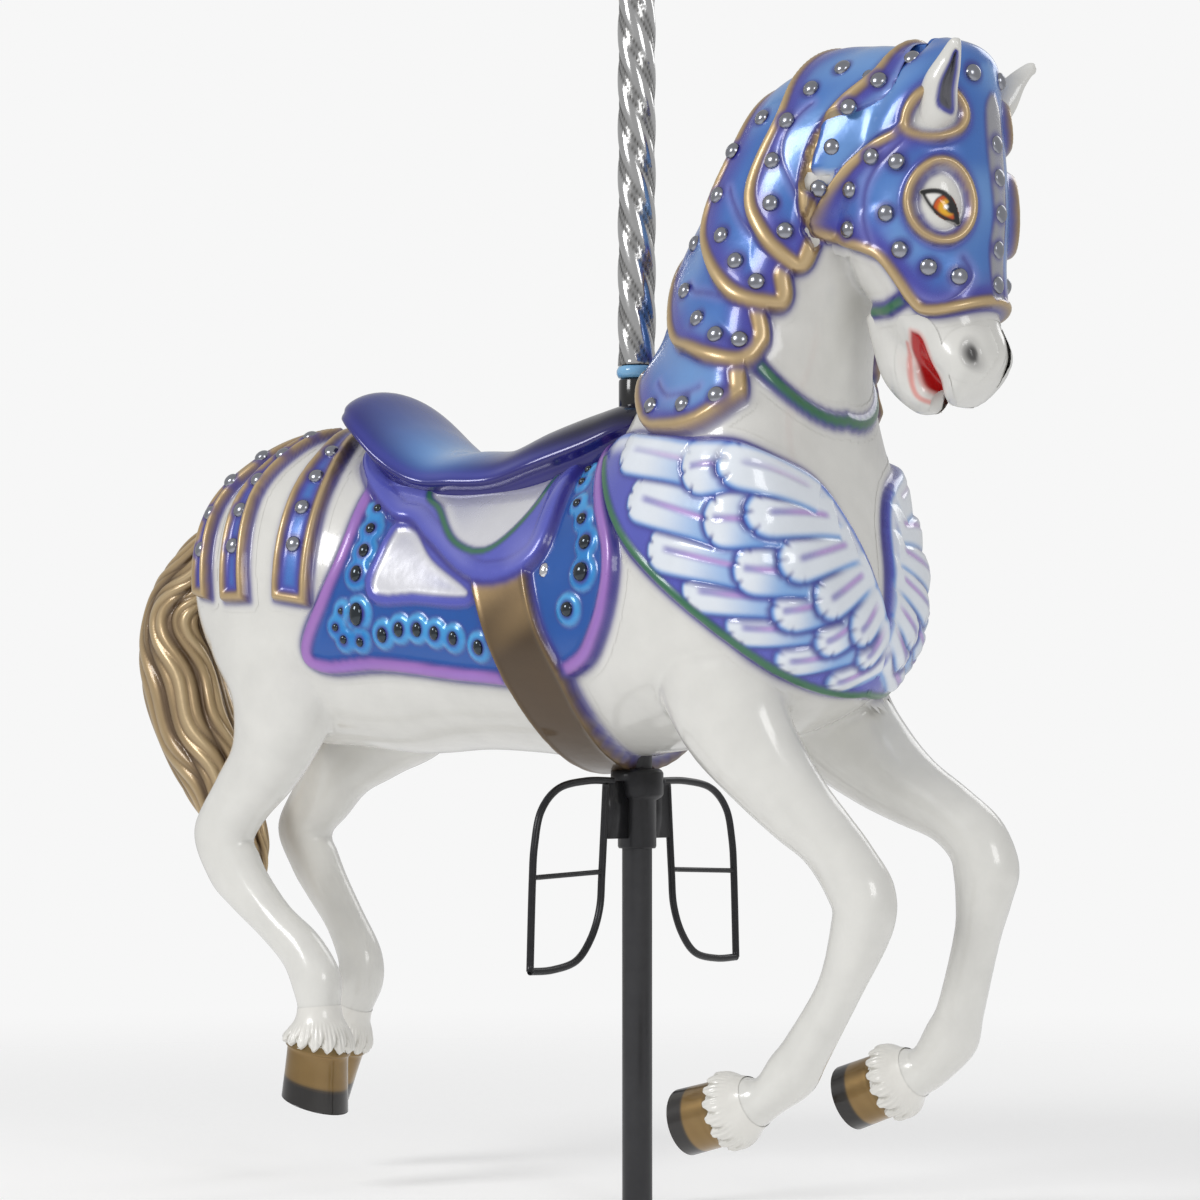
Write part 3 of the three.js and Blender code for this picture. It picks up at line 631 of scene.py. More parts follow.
class Shell:
    """A fine grid over part of a tube, seated on the body, whose heights and paint are laid on in layers."""

    def __init__(self, at, stations, angles, spacing=SPACING):
        self.at = at
        ends = at(np.linspace(*stations, 60), sum(np.abs(angles)) / 2)[0]
        length = np.linalg.norm(np.diff(ends, axis=0), axis=1).sum()
        ring = at(sum(stations) / 2, np.linspace(*angles, 90))[0]
        girth = np.linalg.norm(np.diff(ring, axis=0), axis=1).sum()
        self.shape = (int(length / spacing) + 1, int(girth / spacing) + 1)
        axes = np.linspace(*stations, self.shape[0]), np.linspace(*angles, self.shape[1])
        s, a = np.meshgrid(*axes, indexing="ij")
        self.station, self.turn = s.ravel(), a.ravel()
        self.base, self.out = at(self.station, self.turn)
        self.base = self.base + self.out * self.seat()[:, None]
        self.near = self.base * np.where(self.turn < 0, -1, 1)[:, None] ** np.array([0, 1, 0])
        self.angle = np.abs(self.turn)
        self.height = np.zeros(s.size)
        self.paint = coated(s.size, WHITE)
        self.shown = np.zeros(s.size, bool)

    def seat(self):
        """How far the body's skin stands off the tube's, evened out."""
        off = np.zeros(len(self.base))
        self.held = np.ones(len(self.base), bool)
        for k, (p, n) in enumerate(zip(self.base, self.out)):
            hit = BODY.ray_cast(Vector(p + SEAT_REACH * n), Vector(-n), SEAT_REACH + SEAT_DEPTH)
            off[k] = SEAT_REACH - hit[3] if hit[0] else 0
            self.held[k] = hit[0] is not None
        off = off.reshape(self.shape)
        for _ in range(6):
            padded = np.pad(off, 1, mode="edge")
            off = (padded[:-2, 1:-1] + padded[2:, 1:-1] + padded[1:-1, :-2] + padded[1:-1, 2:] + 2 * off) / 6
        return off.ravel()

    def line(self, places, side=1):
        """Places as points of the seated grid, on one side."""
        places = np.atleast_2d(np.asarray(places, float))
        grid = self.base.reshape(*self.shape, 3)
        found = []
        for value, axis in ((places[:, 0], self.station), (side * places[:, 1], self.turn)):
            count = self.shape[len(found)]
            share = (value - axis[0]) / (axis[-1] - axis[0]) * (count - 1)
            found.append(np.clip(share, 0, count - 1.001))
        i, j = (f.astype(int) for f in found)
        u, v = ((f - f.astype(int))[:, None] for f in found)
        low = grid[i, j] * (1 - v) + grid[i, j + 1] * v
        return low * (1 - u) + (grid[i + 1, j] * (1 - v) + grid[i + 1, j + 1] * v) * u

    def reach(self, places):
        """Distance of each point to a line of places on its own side."""
        away = np.full(len(self.base), 1e6)
        for side in (1, -1):
            mine = self.turn * side >= 0
            if mine.any():
                away[mine] = np.minimum(away[mine], distance(self.base[mine], self.line(places, side)))
        return away

    def gap(self, place):
        """Distance of each point to one place on its own side."""
        both = [np.linalg.norm(self.base - self.line(place, side), axis=1) for side in (1, -1)]
        return np.where(self.turn >= 0, both[0], both[1])

    def region(self, polygon, edge=None):
        """Signed distance to an outline, more than 0 inside. edge is the part of it that shows."""
        away = self.reach(np.vstack([polygon, polygon[:1]]) if edge is None else edge)
        return np.where(within(self.station, self.angle, np.asarray(polygon, float)), away, -away)

    def lay(self, cover, colour):
        tint(self.paint, cover, colour)

    def bands(self, depth, start, *steps, soft=1.1):
        """Colours by depth: the first colour from start, and each next one from its own depth."""
        self.lay(smooth(start - soft, start + soft, depth), steps[0])
        for limit, colour in zip(steps[1::2], steps[2::2]):
            self.lay(smooth(limit - soft, limit + soft, depth), colour)

    def glow(self, depth, colour, width, strength=0.95):
        """A painted line just outside an outline, with airbrushed shading that fades away from it."""
        self.lay(0.45 * strength * smooth(-width - 6, -2, depth), colour)
        self.lay(strength * smooth(-width * 0.75, -width * 0.45, depth), colour)
        self.shown |= depth > -width - 7

    def raise_to(self, depth, height):
        self.height += smooth(-EDGE_SOFTNESS, EDGE_SOFTNESS, depth) * (height - self.height)

    def evened(self, values):
        """Values averaged with their neighbours on the grid."""
        v = values.reshape(*self.shape, -1)
        for axis in (0, 1):
            padded = np.pad(v, [(1, 1) if k == axis else (0, 0) for k in range(3)], mode="edge")
            back, ahead = np.delete(padded, [-1, -2], axis), np.delete(padded, [0, 1], axis)
            v = (back + 2 * v + ahead) / 4
        return v.reshape(values.shape)

    def solid_points(self):
        self.height = self.evened(self.height)
        self.points = self.base + self.out * (self.height + 0.4)[:, None]
        return self.points

    def piece(self, name):
        points = self.solid_points()
        self.paint = self.evened(self.paint)
        faces = grid_faces(*self.shape)
        faces = faces[self.shown[faces].any(1) & self.held[faces].all(1)]
        used, again = np.unique(faces, return_inverse=True)
        return mesh_object(name, points[used], again.reshape(-1, 4).tolist(), self.paint[used], PAINT)

    def tuck_under(self, other, mask, room=3):
        """Lowers the points that would stand through the masked part of another shell."""
        faces = grid_faces(*other.shape)
        faces = faces[mask[faces].all(1)]
        tree = BVHTree.FromPolygons(other.points.tolist(), faces.tolist())
        start = other.points[faces[0, 0]]
        turned_in = np.sign(Vector(other.out[faces[0, 0]]).dot(tree.find_nearest(Vector(start))[1]))
        for k in np.flatnonzero(self.shown & (self.station > self.station.max() - 4)):
            point = self.base[k] + self.out[k] * self.height[k]
            near, normal, _, away = tree.find_nearest(Vector(point), 40)
            if near is None:
                continue
            outward = np.array(normal) * turned_in
            over = (point - np.array(near)) @ outward
            if over > -room and abs(over) > 0.8 * away:
                self.height[k] -= (over + room) / max(self.out[k] @ outward, 0.35)

    def top(self, place, side=1):
        """The finished point and outward direction at a place."""
        along_it = (self.station - place[0]) * STATION_SIZE
        across = (self.turn - side * place[1]) * DEGREE_SIZE
        k = int(np.argmin(along_it**2 + across**2))
        return self.points[k], self.out[k]


def bead(depth, start, end, height):
    """A rounded rim between two depths."""
    middle, half = (start + end) / 2, (end - start) / 2
    return height * np.clip(1 - ((depth - middle) / half) ** 2, 0, 1)


def on(rows):
    """A way to find points and outward directions on a tube."""
    return lambda s, a: surface(rows, s, a)


def rimmed(shell, depth, edge_height, field_height, rim):
    """An armour plate: airbrushed outside, a gold rim with a painted highlight on its crest and painted shade
    at its edges, then a field that lightens inwards.
    """
    shell.glow(depth, OUTLINE, 8)
    shell.raise_to(depth, edge_height + (field_height - edge_height) * smooth(rim, rim + 60, depth))
    shell.height += bead(depth, 0, rim, RIM_BEAD)
    share = depth / rim
    # Painted shade at the rim's edges and a painted highlight along its crest.
    shell.bands(depth, 0, GOLD_PAINTED_SHADE, 2.5, GOLD)
    shell.lay(smooth(0.2, 0.45, share) * (1 - smooth(0.55, 0.8, share)) * 0.8, GOLD_PAINTED_HIGHLIGHT)
    shell.lay(smooth(0.8, 0.95, share), GOLD_PAINTED_SHADE)
    shell.bands(depth - rim, 0, OUTLINE, 2.6, SHADOW_BLUE)
    shell.lay(smooth(4, 42, depth - rim), BLUE)


def engraved(shell, places, mask):
    """A fine engraved line, painted dark, with paler paint that fades on both sides."""
    away = shell.reach(places)
    shell.lay((1 - smooth(3, 15, away)) * mask * 0.45, LILAC_BLUE)
    cover = (1 - smooth(ENGRAVED_WIDTH * 0.45, ENGRAVED_WIDTH, away)) * mask
    shell.lay(cover * 0.85, OUTLINE)
    shell.height -= ENGRAVED_DEPTH * cover


def cloudy(shell, depth, start, colour, strength, size=60, seed=0):
    """Soft patches of another colour inside a depth."""
    patches = smooth(0.35, 0.75, ripple(shell.near, size, seed))
    shell.lay(smooth(start, start + 14, depth) * strength * patches, colour)


# Domes that stand on the shells: (point, outward direction, half width, half height, height).
STUDS, GEMS, PEARLS = [], [], []


def stud(shell, place, height=STUD_HEIGHT):
    """A round-headed stud on each side, or one where it is on the middle line."""
    for side in (1, -1) if place[1] else (1,):
        point, out = shell.top(place, side)
        STUDS.append((point, out, STUD_RADIUS, STUD_RADIUS, height))


def stud_rings(shell, places):
    """Dark airbrushed rings round studs."""
    for place in places:
        shell.lay(0.8 * (1 - smooth(STUD_RADIUS + 1, STUD_RADIUS + 6, shell.gap(place))), OUTLINE)


# ---- neck armour ----

# Each neck plate's lower rim from the crest to the throat, the places that close its outline under the next
# plate, and its ridge: [how far in front of the rim in stations, first angle, last angle].
NECK_PLATES = [
    ([(10.3, 0), (10.6, 50), (11.4, 70), (13.4, 100), (13.9, 108), (14.15, 107)],
     [(15, 90), (15, 0)], (0.8, 50, 85)),
    ([(13.1, 0), (12.3, 45), (12.9, 70), (14.2, 105), (14.9, 117), (15.15, 118), (15.3, 113)],
     [(16.2, 100), (16.2, 0)], (1.1, 50, 90)),
    ([(16.2, 0), (15.5, 35), (14.4, 45), (14.2, 60), (14.5, 85), (15.4, 115), (15.7, 123), (15.95, 124),
      (16.1, 119)],
     [(17, 100), (17.9, 0)], (1.1, 55, 95)),
    ([(17.3, 0), (16.9, 35), (16.6, 55), (15.7, 70), (15.7, 90), (16.1, 115), (16.35, 124), (16.65, 128),
      (17, 127)],
     [(18, 110), (18.8, 0)], (1.1, 60, 100)),
    ([(18.6, 0), (18.5, 35), (18.3, 55), (17.4, 80), (16.9, 100), (16.9, 118), (17.3, 132)],
     [(18.2, 132), (19.5, 120), (19.6, 0)], (1, 35, 105)),
]
# Rows of studs: a few places on each row's line, and how many studs it has.
NECK_STUD_ROWS = [
    ([(11.1, 55), (12.1, 72), (13.2, 92)], 3),
    ([(13.7, 35), (13.2, 45), (13.6, 75), (14.4, 100)], 5),
    ([(16.2, 40), (15.1, 45), (14.9, 70), (15.4, 102)], 6),
    ([(17.8, 40), (16.9, 62), (16.3, 85), (16.4, 105)], 6),
    ([(18.6, 57), (17.4, 105)], 4),
]
NECK_STUDS = sum((spread(*row) for row in NECK_STUD_ROWS), [])
NECK_STRAP = [(14.4, 100), (14.85, 138), (15.1, 180)]


def strap_band(shell, places, half, height=5):
    """A narrow green strap with dark-blue edges."""
    depth = half - shell.reach(curve(places))
    shell.glow(depth, OUTLINE, 7)
    shell.raise_to(depth, height)
    shell.bands(depth, 0, OUTLINE, 2.2, GREEN)


def neck_armour(head):
    shell = Shell(on(TRUNK), (10, 19.4), (-180, 180), 2.9)
    strap_band(shell, NECK_STRAP, 9)
    rim_width = 12 + (GOLD_RIM - 10) * smooth(30, 95, shell.angle)
    for k, (rim, closing, ridge) in enumerate(NECK_PLATES):
        edge = curve(rim)
        depth = shell.region(np.vstack([edge, closing]), edge)
        rimmed(shell, depth, *NECK_PLATE_HEIGHTS, rim_width)
        cloudy(shell, depth, 24, SKY, 0.75, 55, k)
        ahead, first, last = ridge
        line = edge[(edge[:, 1] >= first) & (edge[:, 1] <= last)] + (ahead, 0)
        engraved(shell, line, depth > GOLD_RIM)
    stud_rings(shell, NECK_STUDS)
    shell.shown &= (shell.station < 17.4) | (shell.angle < 133)
    shell.tuck_under(head, head.face)
    shell.height -= 14 * smooth(19.05, 19.4, shell.station)
    shell.piece("neck_armour")
    for place in NECK_STUDS:
        stud(shell, place)


# ---- head armour ----

FACE_RIM = [
    (1.7, 80), (1.55, 100), (1.65, 116), (2.3, 130), (3, 136), (3.8, 115), (4.3, 104), (5.5, 94), (6.1, 83),
    (6.4, 55), (6.4, 0),
]
POLL = [(-0.4, 0), (-0.4, 122), (0.3, 125), (1.1, 130), (1.6, 132), (2.4, 60), (2.4, 0)]
HEAD_STUD_ROWS = [
    ([(2, 93), (2.3, 112), (3.05, 119)], 3),
    ([(2.5, 76), (3.1, 86), (4, 88), (4.9, 70), (5.4, 44)], 5),
]
HEAD_STUDS = [(0.35, 60), (1.4, 20), (0.1, 104)] + sum((spread(*row) for row in HEAD_STUD_ROWS), [])
NOSE_STUDS = [(station, 0) for station in (2.75, 3.4, 4.1, 4.85, 5.7)]
FACE_LINES = [
    [(2.15, 72), (2.4, 95), (3, 104), (3.9, 105)],
    [(4.5, 103), (5.6, 82), (5.95, 58), (5.5, 32), (5, 38)],
]
NOSE_STRIP = [(1.8, 2), (2.1, 9), (2.7, 10), (4.1, 8), (4.9, 10), (6.1, 9)]
CHEEK_STRAP = [(5, 147), (5.15, 138), (5.35, 122), (5.4, 100)]
EAR_RING = oval((1.9, 51), (0.6, 25), -0.012)
EYE_RING = oval((3.7, 51), (0.93, 25), -0.006)
EYE_OVAL = oval((3.72, 50), (0.62, 16), -0.006)
LID_UPPER, LID_LOWER = almond((3.36, 62), (4.2, 42), (-17, 10))
IRIS = (3.84, 48)
# Places [x, z] of the side view.
MOUTH = [(484, 1180), (500, 1168), (513, 1110), (505, 1100), (486, 1112), (476, 1150)]
LIP_LINE = [(471, 1166), (467, 1140), (477, 1098), (500, 1086)]
NOSTRIL = (566, 1146)


def ring_boss(shell, places, band, height, floor):
    """A raised gold ring, with a painted highlight on its crest and painted shade at its outer edge, round a
    sunk white floor.
    """
    depth = shell.region(places[:-1], places)
    shell.glow(depth, SHADOW_BLUE, 12, 0.7)
    shell.raise_to(depth, height)
    shell.height += bead(depth, 0, band, 4)
    shell.height -= smooth(band - 2, band + 4, depth) * (height - floor)
    # Painted shade at the ring's outer edge and a painted highlight along its crest.
    shell.bands(depth, 0, GOLD_PAINTED_SHADE, 2.5, GOLD)
    shell.lay(smooth(0.25, 0.5, depth / band) * (1 - smooth(0.6, 0.85, depth / band)) * 0.7, GOLD_PAINTED_HIGHLIGHT)
    shell.bands(depth, band, OUTLINE, band + 3.4, SOCKET_GREY, soft=0.9)
    shell.lay(smooth(band + 4, band + 12, depth), WHITE)
    return depth


def head_armour():
    shell = Shell(on(HEAD), (-0.25, 9.7), (-180, 180), 2.3)
    strap_band(shell, CHEEK_STRAP, 8)
    shell.shown &= shell.angle < 150
    poll = shell.region(np.array(POLL, float), curve(POLL[1:5]))
    shell.glow(poll, OUTLINE, 6)
    shell.raise_to(poll, POLL_HEIGHT)
    shell.bands(poll, 0, OUTLINE, 3, BLUE)
    cloudy(shell, poll, 12, SKY, 0.7, 50, 3)
    rim = curve(FACE_RIM)
    depth = shell.region(np.vstack([rim, [(1.2, 0)], [(1.5, 50)]]), rim)
    edge_height, field_height = FACE_PLATE_HEIGHTS
    edge_height = edge_height + FACE_CORNER_RISE * (1 - smooth(2.4, 3.6, shell.station))
    rimmed(shell, depth, edge_height, field_height, FACE_RIM_WIDTH)
    cloudy(shell, depth, 24, SKY, 0.75, 48, 5)
    for line in FACE_LINES:
        engraved(shell, curve(line), depth > FACE_RIM_WIDTH)
    edge = curve(NOSE_STRIP)
    strip = shell.region(np.vstack([edge, [(6.12, 0), (1.8, 0)]]), edge)
    shell.raise_to(np.minimum(strip, 6), 10)
    shell.bands(strip, -3.5, OUTLINE, 0, STRIP_SILVER)
    cloudy(shell, strip, 3, SILVER_CLOUD, 0.6, 45, 8)
    ring_boss(shell, EAR_RING, 12, 17, 9)
    socket = ring_boss(shell, EYE_RING, 12, 18, 8)
    fine = shell.reach(EYE_OVAL)
    shell.lay(1 - smooth(1.4, 2.8, fine), OUTLINE)
    shell.height += 3 * smooth(0, 25, np.where(socket > 14, socket - 14, 0))
    stud_rings(shell, HEAD_STUDS + NOSE_STUDS)
    shell.height -= 10 * (1 - smooth(-0.1, 0.6, shell.station)) * smooth(20, 45, np.abs(shell.angle))
    shell.height -= 3 * (1 - smooth(-0.25, 0.1, shell.station))
    shell.piece("head_armour")
    shell.face = ((depth > 2) & (shell.station > 0.8)) | ((poll > 4) & (shell.station > 0.8))
    for place in HEAD_STUDS:
        stud(shell, place)
    for place in NOSE_STUDS:
        stud(shell, place, NOSE_STUD_HEIGHT)
    return shell


def side_view(x, z):
    """Places [x, z] of the side view, on a plane that faces the near side."""
    x, z = np.broadcast_arrays(np.asarray(x, float), np.asarray(z, float))
    return np.stack([x, 0 * x - 20, z], -1), np.stack([0 * x, 0 * x - 1, 0 * x], -1)


def mirror(piece_name, shell):
    """The finished shell on the near side, and its mirror image on the far side."""
    shell.piece(piece_name + "_right")
    shell.base = shell.base * np.array([1, -1, 1])
    shell.out = shell.out * np.array([1, -1, 1])
    shell.height = shell.height.copy()
    shell.piece(piece_name + "_left")


def muzzle():
    """Nostrils and the open mouth, with its red inside and pink lip."""
    shell = Shell(side_view, (436, 592), (1078, 1200), 1.25)
    x, z = shell.station, shell.turn
    seated = shell.base
    facing = smooth(16, 34, np.abs(seated[:, 1]))
    shell.base = seated * np.array([1, 0, 1])
    across, along_it = x - NOSTRIL[0], z - NOSTRIL[1]
    away = np.hypot((across + 0.2 * along_it) * 1.9, along_it)
    shell.lay(0.55 * facing * (1 - smooth(12, 30, away)), NOSTRIL_GREY)
    shell.lay(0.95 * facing * (1 - smooth(6, 17, away)), NOSTRIL_DARK)
    shell.height -= 9 * facing * (1 - smooth(2, 22, away))
    lip = shell.reach(curve(LIP_LINE))
    shell.lay(0.7 * (1 - smooth(1.5, 5, lip)), LIP)
    shell.height += 0.8 - 1.2 * (1 - smooth(0, 4, lip))
    edge = curve(MOUTH + MOUTH[:1])
    mouth = shell.region(edge[:-1], edge)
    shell.lay(0.5 * smooth(-7, -1, mouth), LIP)
    shell.bands(mouth, 0, RED_EDGE, 1.5, RED)
    shell.lay(0.5 * smooth(5, 12, mouth), RED_DEEP)
    shell.height -= 9 * smooth(-1, 9, mouth)
    shell.shown = (np.hypot(across, along_it) < 38) | (mouth > -24) | (lip < 18)
    shell.shown &= np.abs(seated[:, 1]) > 12
    shell.base = seated
    mirror("muzzle", shell)


def eyes():
    """The painted eye on each side: black lids, orange iris, pupil and glint."""
    shell = Shell(on(HEAD), (3.0, 4.4), (27, 74), 1.0)
    opening = np.vstack([LID_UPPER, LID_LOWER[::-1]])
    lid = shell.region(opening[:-1], opening)
    away = shell.gap(IRIS)
    shell.height += 11.5 + 3.5 * smooth(-6, 14, lid)
    shell.paint[:] = paint_of(EYE_WHITE)
    shell.lay(1 - smooth(16.5, 18, away), IRIS_EDGE)
    shell.lay(1 - smooth(15, 16.5, away), IRIS_ORANGE)
    shell.lay(1 - smooth(8, 13, away), IRIS_YELLOW)
    shell.lay(1 - smooth(7, 8.2, shell.gap((IRIS[0] + 0.03, IRIS[1] - 3))), BLACK)
    shell.lay(1 - smooth(2.2, 3.4, shell.gap((IRIS[0] - 0.02, IRIS[1] + 1))), GLINT)
    lash = shell.reach(LID_UPPER)
    shell.lay(1 - smooth(1.6, 2.6, np.abs(lid)), BLACK)
    shell.lay(1 - smooth(3, 4.2, lash), BLACK)
    shell.shown = (lid > -1.6) | (lash < 3)
    mirror("eye", shell)


# ---- breast wings ----

WING_OUTER = [(9.25, 40), (9.7, 80), (10.7, 128), (11.2, 182)]
WING_INNER = [(9.3, 30), (10.5, 54), (11.8, 78), (13.2, 108), (14, 146), (13.6, 168), (12.2, 182)]
FEATHER_ROWS = 7
FEATHER_OVERLAP = 45
# Columns of feathers from the front edge in: the lines of their tips and of their roots from the top down,
# how many there are, and the first and last half width.
FEATHER_COLUMNS = [
    ([(10.2, 56), (10.4, 90), (11.1, 130), (11.4, 164)],
     [(11.6, 82), (11.3, 102), (11.6, 136), (11.6, 170)], 7, 40, 26),
    ([(11.8, 88), (11.8, 130), (11.9, 170)], [(12.5, 100), (12.1, 130), (12.2, 175)], 6, 44, 26),
    ([(12.8, 106), (12.5, 130), (12.2, 165)], [(13.6, 134), (13.2, 150), (12.5, 171)], 5, 38, 30),
]


def feather(shell, tip_place, root_place, half, last):
    """One pillow-shaped feather with a lilac quill and slits round its tip, laid over what is there."""
    facing = np.sign(shell.turn[0]) or 1
    tip, root = shell.line(tip_place, facing)[0], shell.line(root_place, facing)[0]
    axis = (tip - root) / np.linalg.norm(tip - root)
    length = np.linalg.norm(tip - root) + 22
    behind = FEATHER_OVERLAP
    root = root - behind * axis
    from_root = shell.base - root
    run = from_root @ axis - behind
    side = np.cross(from_root, axis) @ shell.at(tip_place[0], facing * tip_place[1])[1]
    away = np.linalg.norm(from_root - (run + behind)[:, None] * axis, axis=1)
    centre = max(length - half, length * 0.35)
    ahead = np.maximum(run - centre, 0)
    scale = half / max(length - centre, 1)
    wide = half * (1 - 0.12 * smooth(centre, centre - length, run))
    e = wide - np.hypot(side, ahead * scale)
    fan = np.arctan2(side, ahead * scale + 4)
    slits = np.cos(fan * 8.5 + 0.6 + 0.3 * half)
    tipward = smooth(0, 8, run - centre) * (1 - smooth(1.15, 1.4, np.abs(fan)))
    e -= 1.6 * smooth(0.5, 1, slits) * tipward
    e = np.where((run > -behind) & (away < half * 2.4), e, OUTSIDE)
    cover = smooth(-1, 1.5, e)
    line = 1 - 0.9 * last * (1 - smooth(-0.25, 0.2, run / length))
    lift = 7 + 11 * np.sqrt(np.clip(e / half, 0, 1)) * (0.5 + 0.5 * smooth(-0.3, 0.8, run / length))
    shell.height += cover * (lift - shell.height)
    shell.lay(smooth(-6, -1, e) * 0.55 * line, SHADOW_BLUE)
    shell.lay(cover * line, OUTLINE)
    shell.lay(cover * (1 - line), FEATHER_BLUE)
    shell.lay(smooth(2.2, 4.2, e), FEATHER_DEEP)
    shell.lay(smooth(3.2, 8, e) * (0.75 + 0.25 * last), FEATHER_BLUE)
    # Except on the innermost feathers, the root end, which the next feather overlaps, stays blue as painted
    # shadow.
    pale = smooth(4.5, 10, e) * (last + (1 - last) * smooth(-0.35, 0.5, run / length))
    shell.lay(pale, FEATHER_WHITE)
    slit = smooth(0.8, 0.98, slits) * (1 - smooth(9, 15, e)) * smooth(1, 3, e) * tipward
    shell.lay(slit * 0.85, OUTLINE)
    shell.height -= 2.6 * slit
    reach = smooth(-0.35, -0.2, run / length) * (1 - smooth(0.62, 0.74, run / length)) * (e > 4)
    shell.lay((1 - smooth(2.6, 6.5, np.abs(side))) * reach * 0.75, QUILL_DARK)
    pink = 1 - smooth(0.2, 0.6, run / length)
    shell.lay((1 - smooth(1.6, 3.6, np.abs(side))) * reach * pink, QUILL)
    shell.height -= 2.4 * (1 - smooth(1, 4.5, np.abs(side))) * reach


def breast_wings():
    for side in (1, -1):
        shell = Shell(on(TRUNK), (9.1, 14.35), (26 * side, 184 * side), 2.35)
        shell.angle = np.where(shell.angle > 182, 182, shell.angle)
        outer, inner = curve(WING_OUTER), curve(WING_INNER)
        whole = np.vstack([outer, inner[::-1]])
        inside = within(shell.station, shell.angle, whole)
        to_outer = np.where(inside, 1, -1) * shell.reach(outer)
        to_inner = np.where(inside, 1, -1) * shell.reach(inner)
        depth = np.where(inside, np.minimum(to_outer, to_inner), np.maximum(to_outer, to_inner))
        shell.glow(depth, OUTLINE, 10)
        shell.raise_to(depth, WING_HEIGHT)
        shell.bands(depth, 0, OUTLINE, 3, PERIWINKLE)
        shell.bands(to_outer, 0, OUTLINE, 3, GREEN, 14, OUTLINE, 16.5, PERIWINKLE)
        shell.height += bead(to_outer, 1, 15, 2.5)
        before = shell.height.copy(), shell.paint.copy()
        innermost = [sum(row < column[2] for column in FEATHER_COLUMNS) - 1 for row in range(FEATHER_ROWS)]
        for row in reversed(range(FEATHER_ROWS)):
            for column, (tips, roots, count, first, last) in enumerate(FEATHER_COLUMNS):
                if row < count:
                    half = first + (last - first) * row / (count - 1)
                    places = spread(tips, count)[row], spread(roots, count)[row]
                    feather(shell, *places, half, column == innermost[row])
        kept = smooth(14, 18, to_outer) * smooth(3, 6, to_inner) * inside
        shell.height = before[0] + kept * (shell.height - before[0])
        shell.paint = before[1] + kept[:, None] * (shell.paint - before[1])
        band = smooth(5, 7, to_inner) * (1 - smooth(16, 40, to_inner)) * inside * smooth(16, 30, to_outer)
        shell.lay(band * (1 - smooth(5, 14, to_inner)), FEATHER_DEEP)
        shell.lay(band * smooth(6, 14, to_inner) * 0.85, FEATHER_WHITE)
        shell.shown &= shell.near[:, 1] <= 3
        shell.piece("breast_wing_right" if side > 0 else "breast_wing_left")


# ---- saddle cloth ----

BLANKET = [
    (5.1, 16), (5, 64), (4.7, 88), (4.25, 112), (4.5, 120), (5.5, 116), (7, 118), (8.5, 118), (9.1, 108),
    (9.6, 85), (9.5, 60), (9.2, 18),
]
FLAP = [
    (8.45, 16), (8.55, 50), (8.3, 72), (7.3, 76), (6.4, 60), (6, 52), (5.65, 52), (5.1, 42), (4.75, 28),
    (4.8, 16),
]
FLAP_PANEL = [(8, 18), (8.05, 44), (7.5, 61), (6.9, 58), (6.4, 42), (6.1, 35), (6, 18)]
CORNER_PANEL = [(5.8, 56), (6.1, 55), (6.5, 67), (7.2, 81), (6.3, 82), (5.6, 84), (5.7, 68)]
GIRTH_REAR = [(7.2, 72), (7.5, 102), (7.75, 136), (7.85, 184)]
GIRTH_FRONT = [(8.15, 72), (8.3, 95), (8.5, 125), (8.35, 184)]
# Chains of gems: a few places on each one's line, how many gems, and the first and last half sizes.
GEM_ROWS = [
    ([(5.4, 50), (5.4, 65), (5.3, 79)], 4, (6.5, 6.5), (9, 12)),
    ([(5.3, 94), (5.3, 94)], 1, (11, 17), (11, 17)),
    ([(5.05, 94), (4.9, 104), (5.3, 104)], 4, (5, 5), (6, 7)),
    ([(5.7, 100), (6.2, 96), (6.9, 99)], 5, (8, 11), (7, 10)),
    ([(7.3, 102), (7.3, 102)], 1, (8, 11), (8, 11)),
    ([(8.85, 34), (8.85, 42)], 2, (6, 6), (6, 6)),
    ([(8.9, 54), (9.15, 70), (9.05, 84)], 4, (6.5, 6.5), (12, 13.5)),
    ([(8.75, 94), (8.75, 94)], 1, (9.5, 10.5), (9.5, 10.5)),
]
PEARL = (8.4, 76)


def gem_chain(places, count, first, last):
    """Gems [station, angle, half width, half height] spread along a line, from the first size to the last."""
    sizes = [first] + [tuple(np.add(first, last) / 2)] * (len(places) - 2) + [last]
    return spread([place + size for place, size in zip(places, sizes)], count)


GEM_CHAINS = [gem_chain(*row) for row in GEM_ROWS]


def blanket(shell):
    outline = curve(BLANKET)
    depth = shell.region(outline, outline)
    shell.glow(depth, OUTLINE, 10)
    shell.raise_to(depth, BLANKET_HEIGHT)
    shell.height += bead(depth, 2, 20, 2.5)
    shell.bands(depth, 0, OUTLINE, 4, PINK, 20, OUTLINE, 23.5, AQUA_DEEP)
    shell.lay(smooth(4, 8, depth) * (1 - smooth(15, 19, depth)) * 0.6 * ripple(shell.near, 60, 2), PINK_SHADE)
    shell.height -= 3 * smooth(21, 26, depth)
    return depth


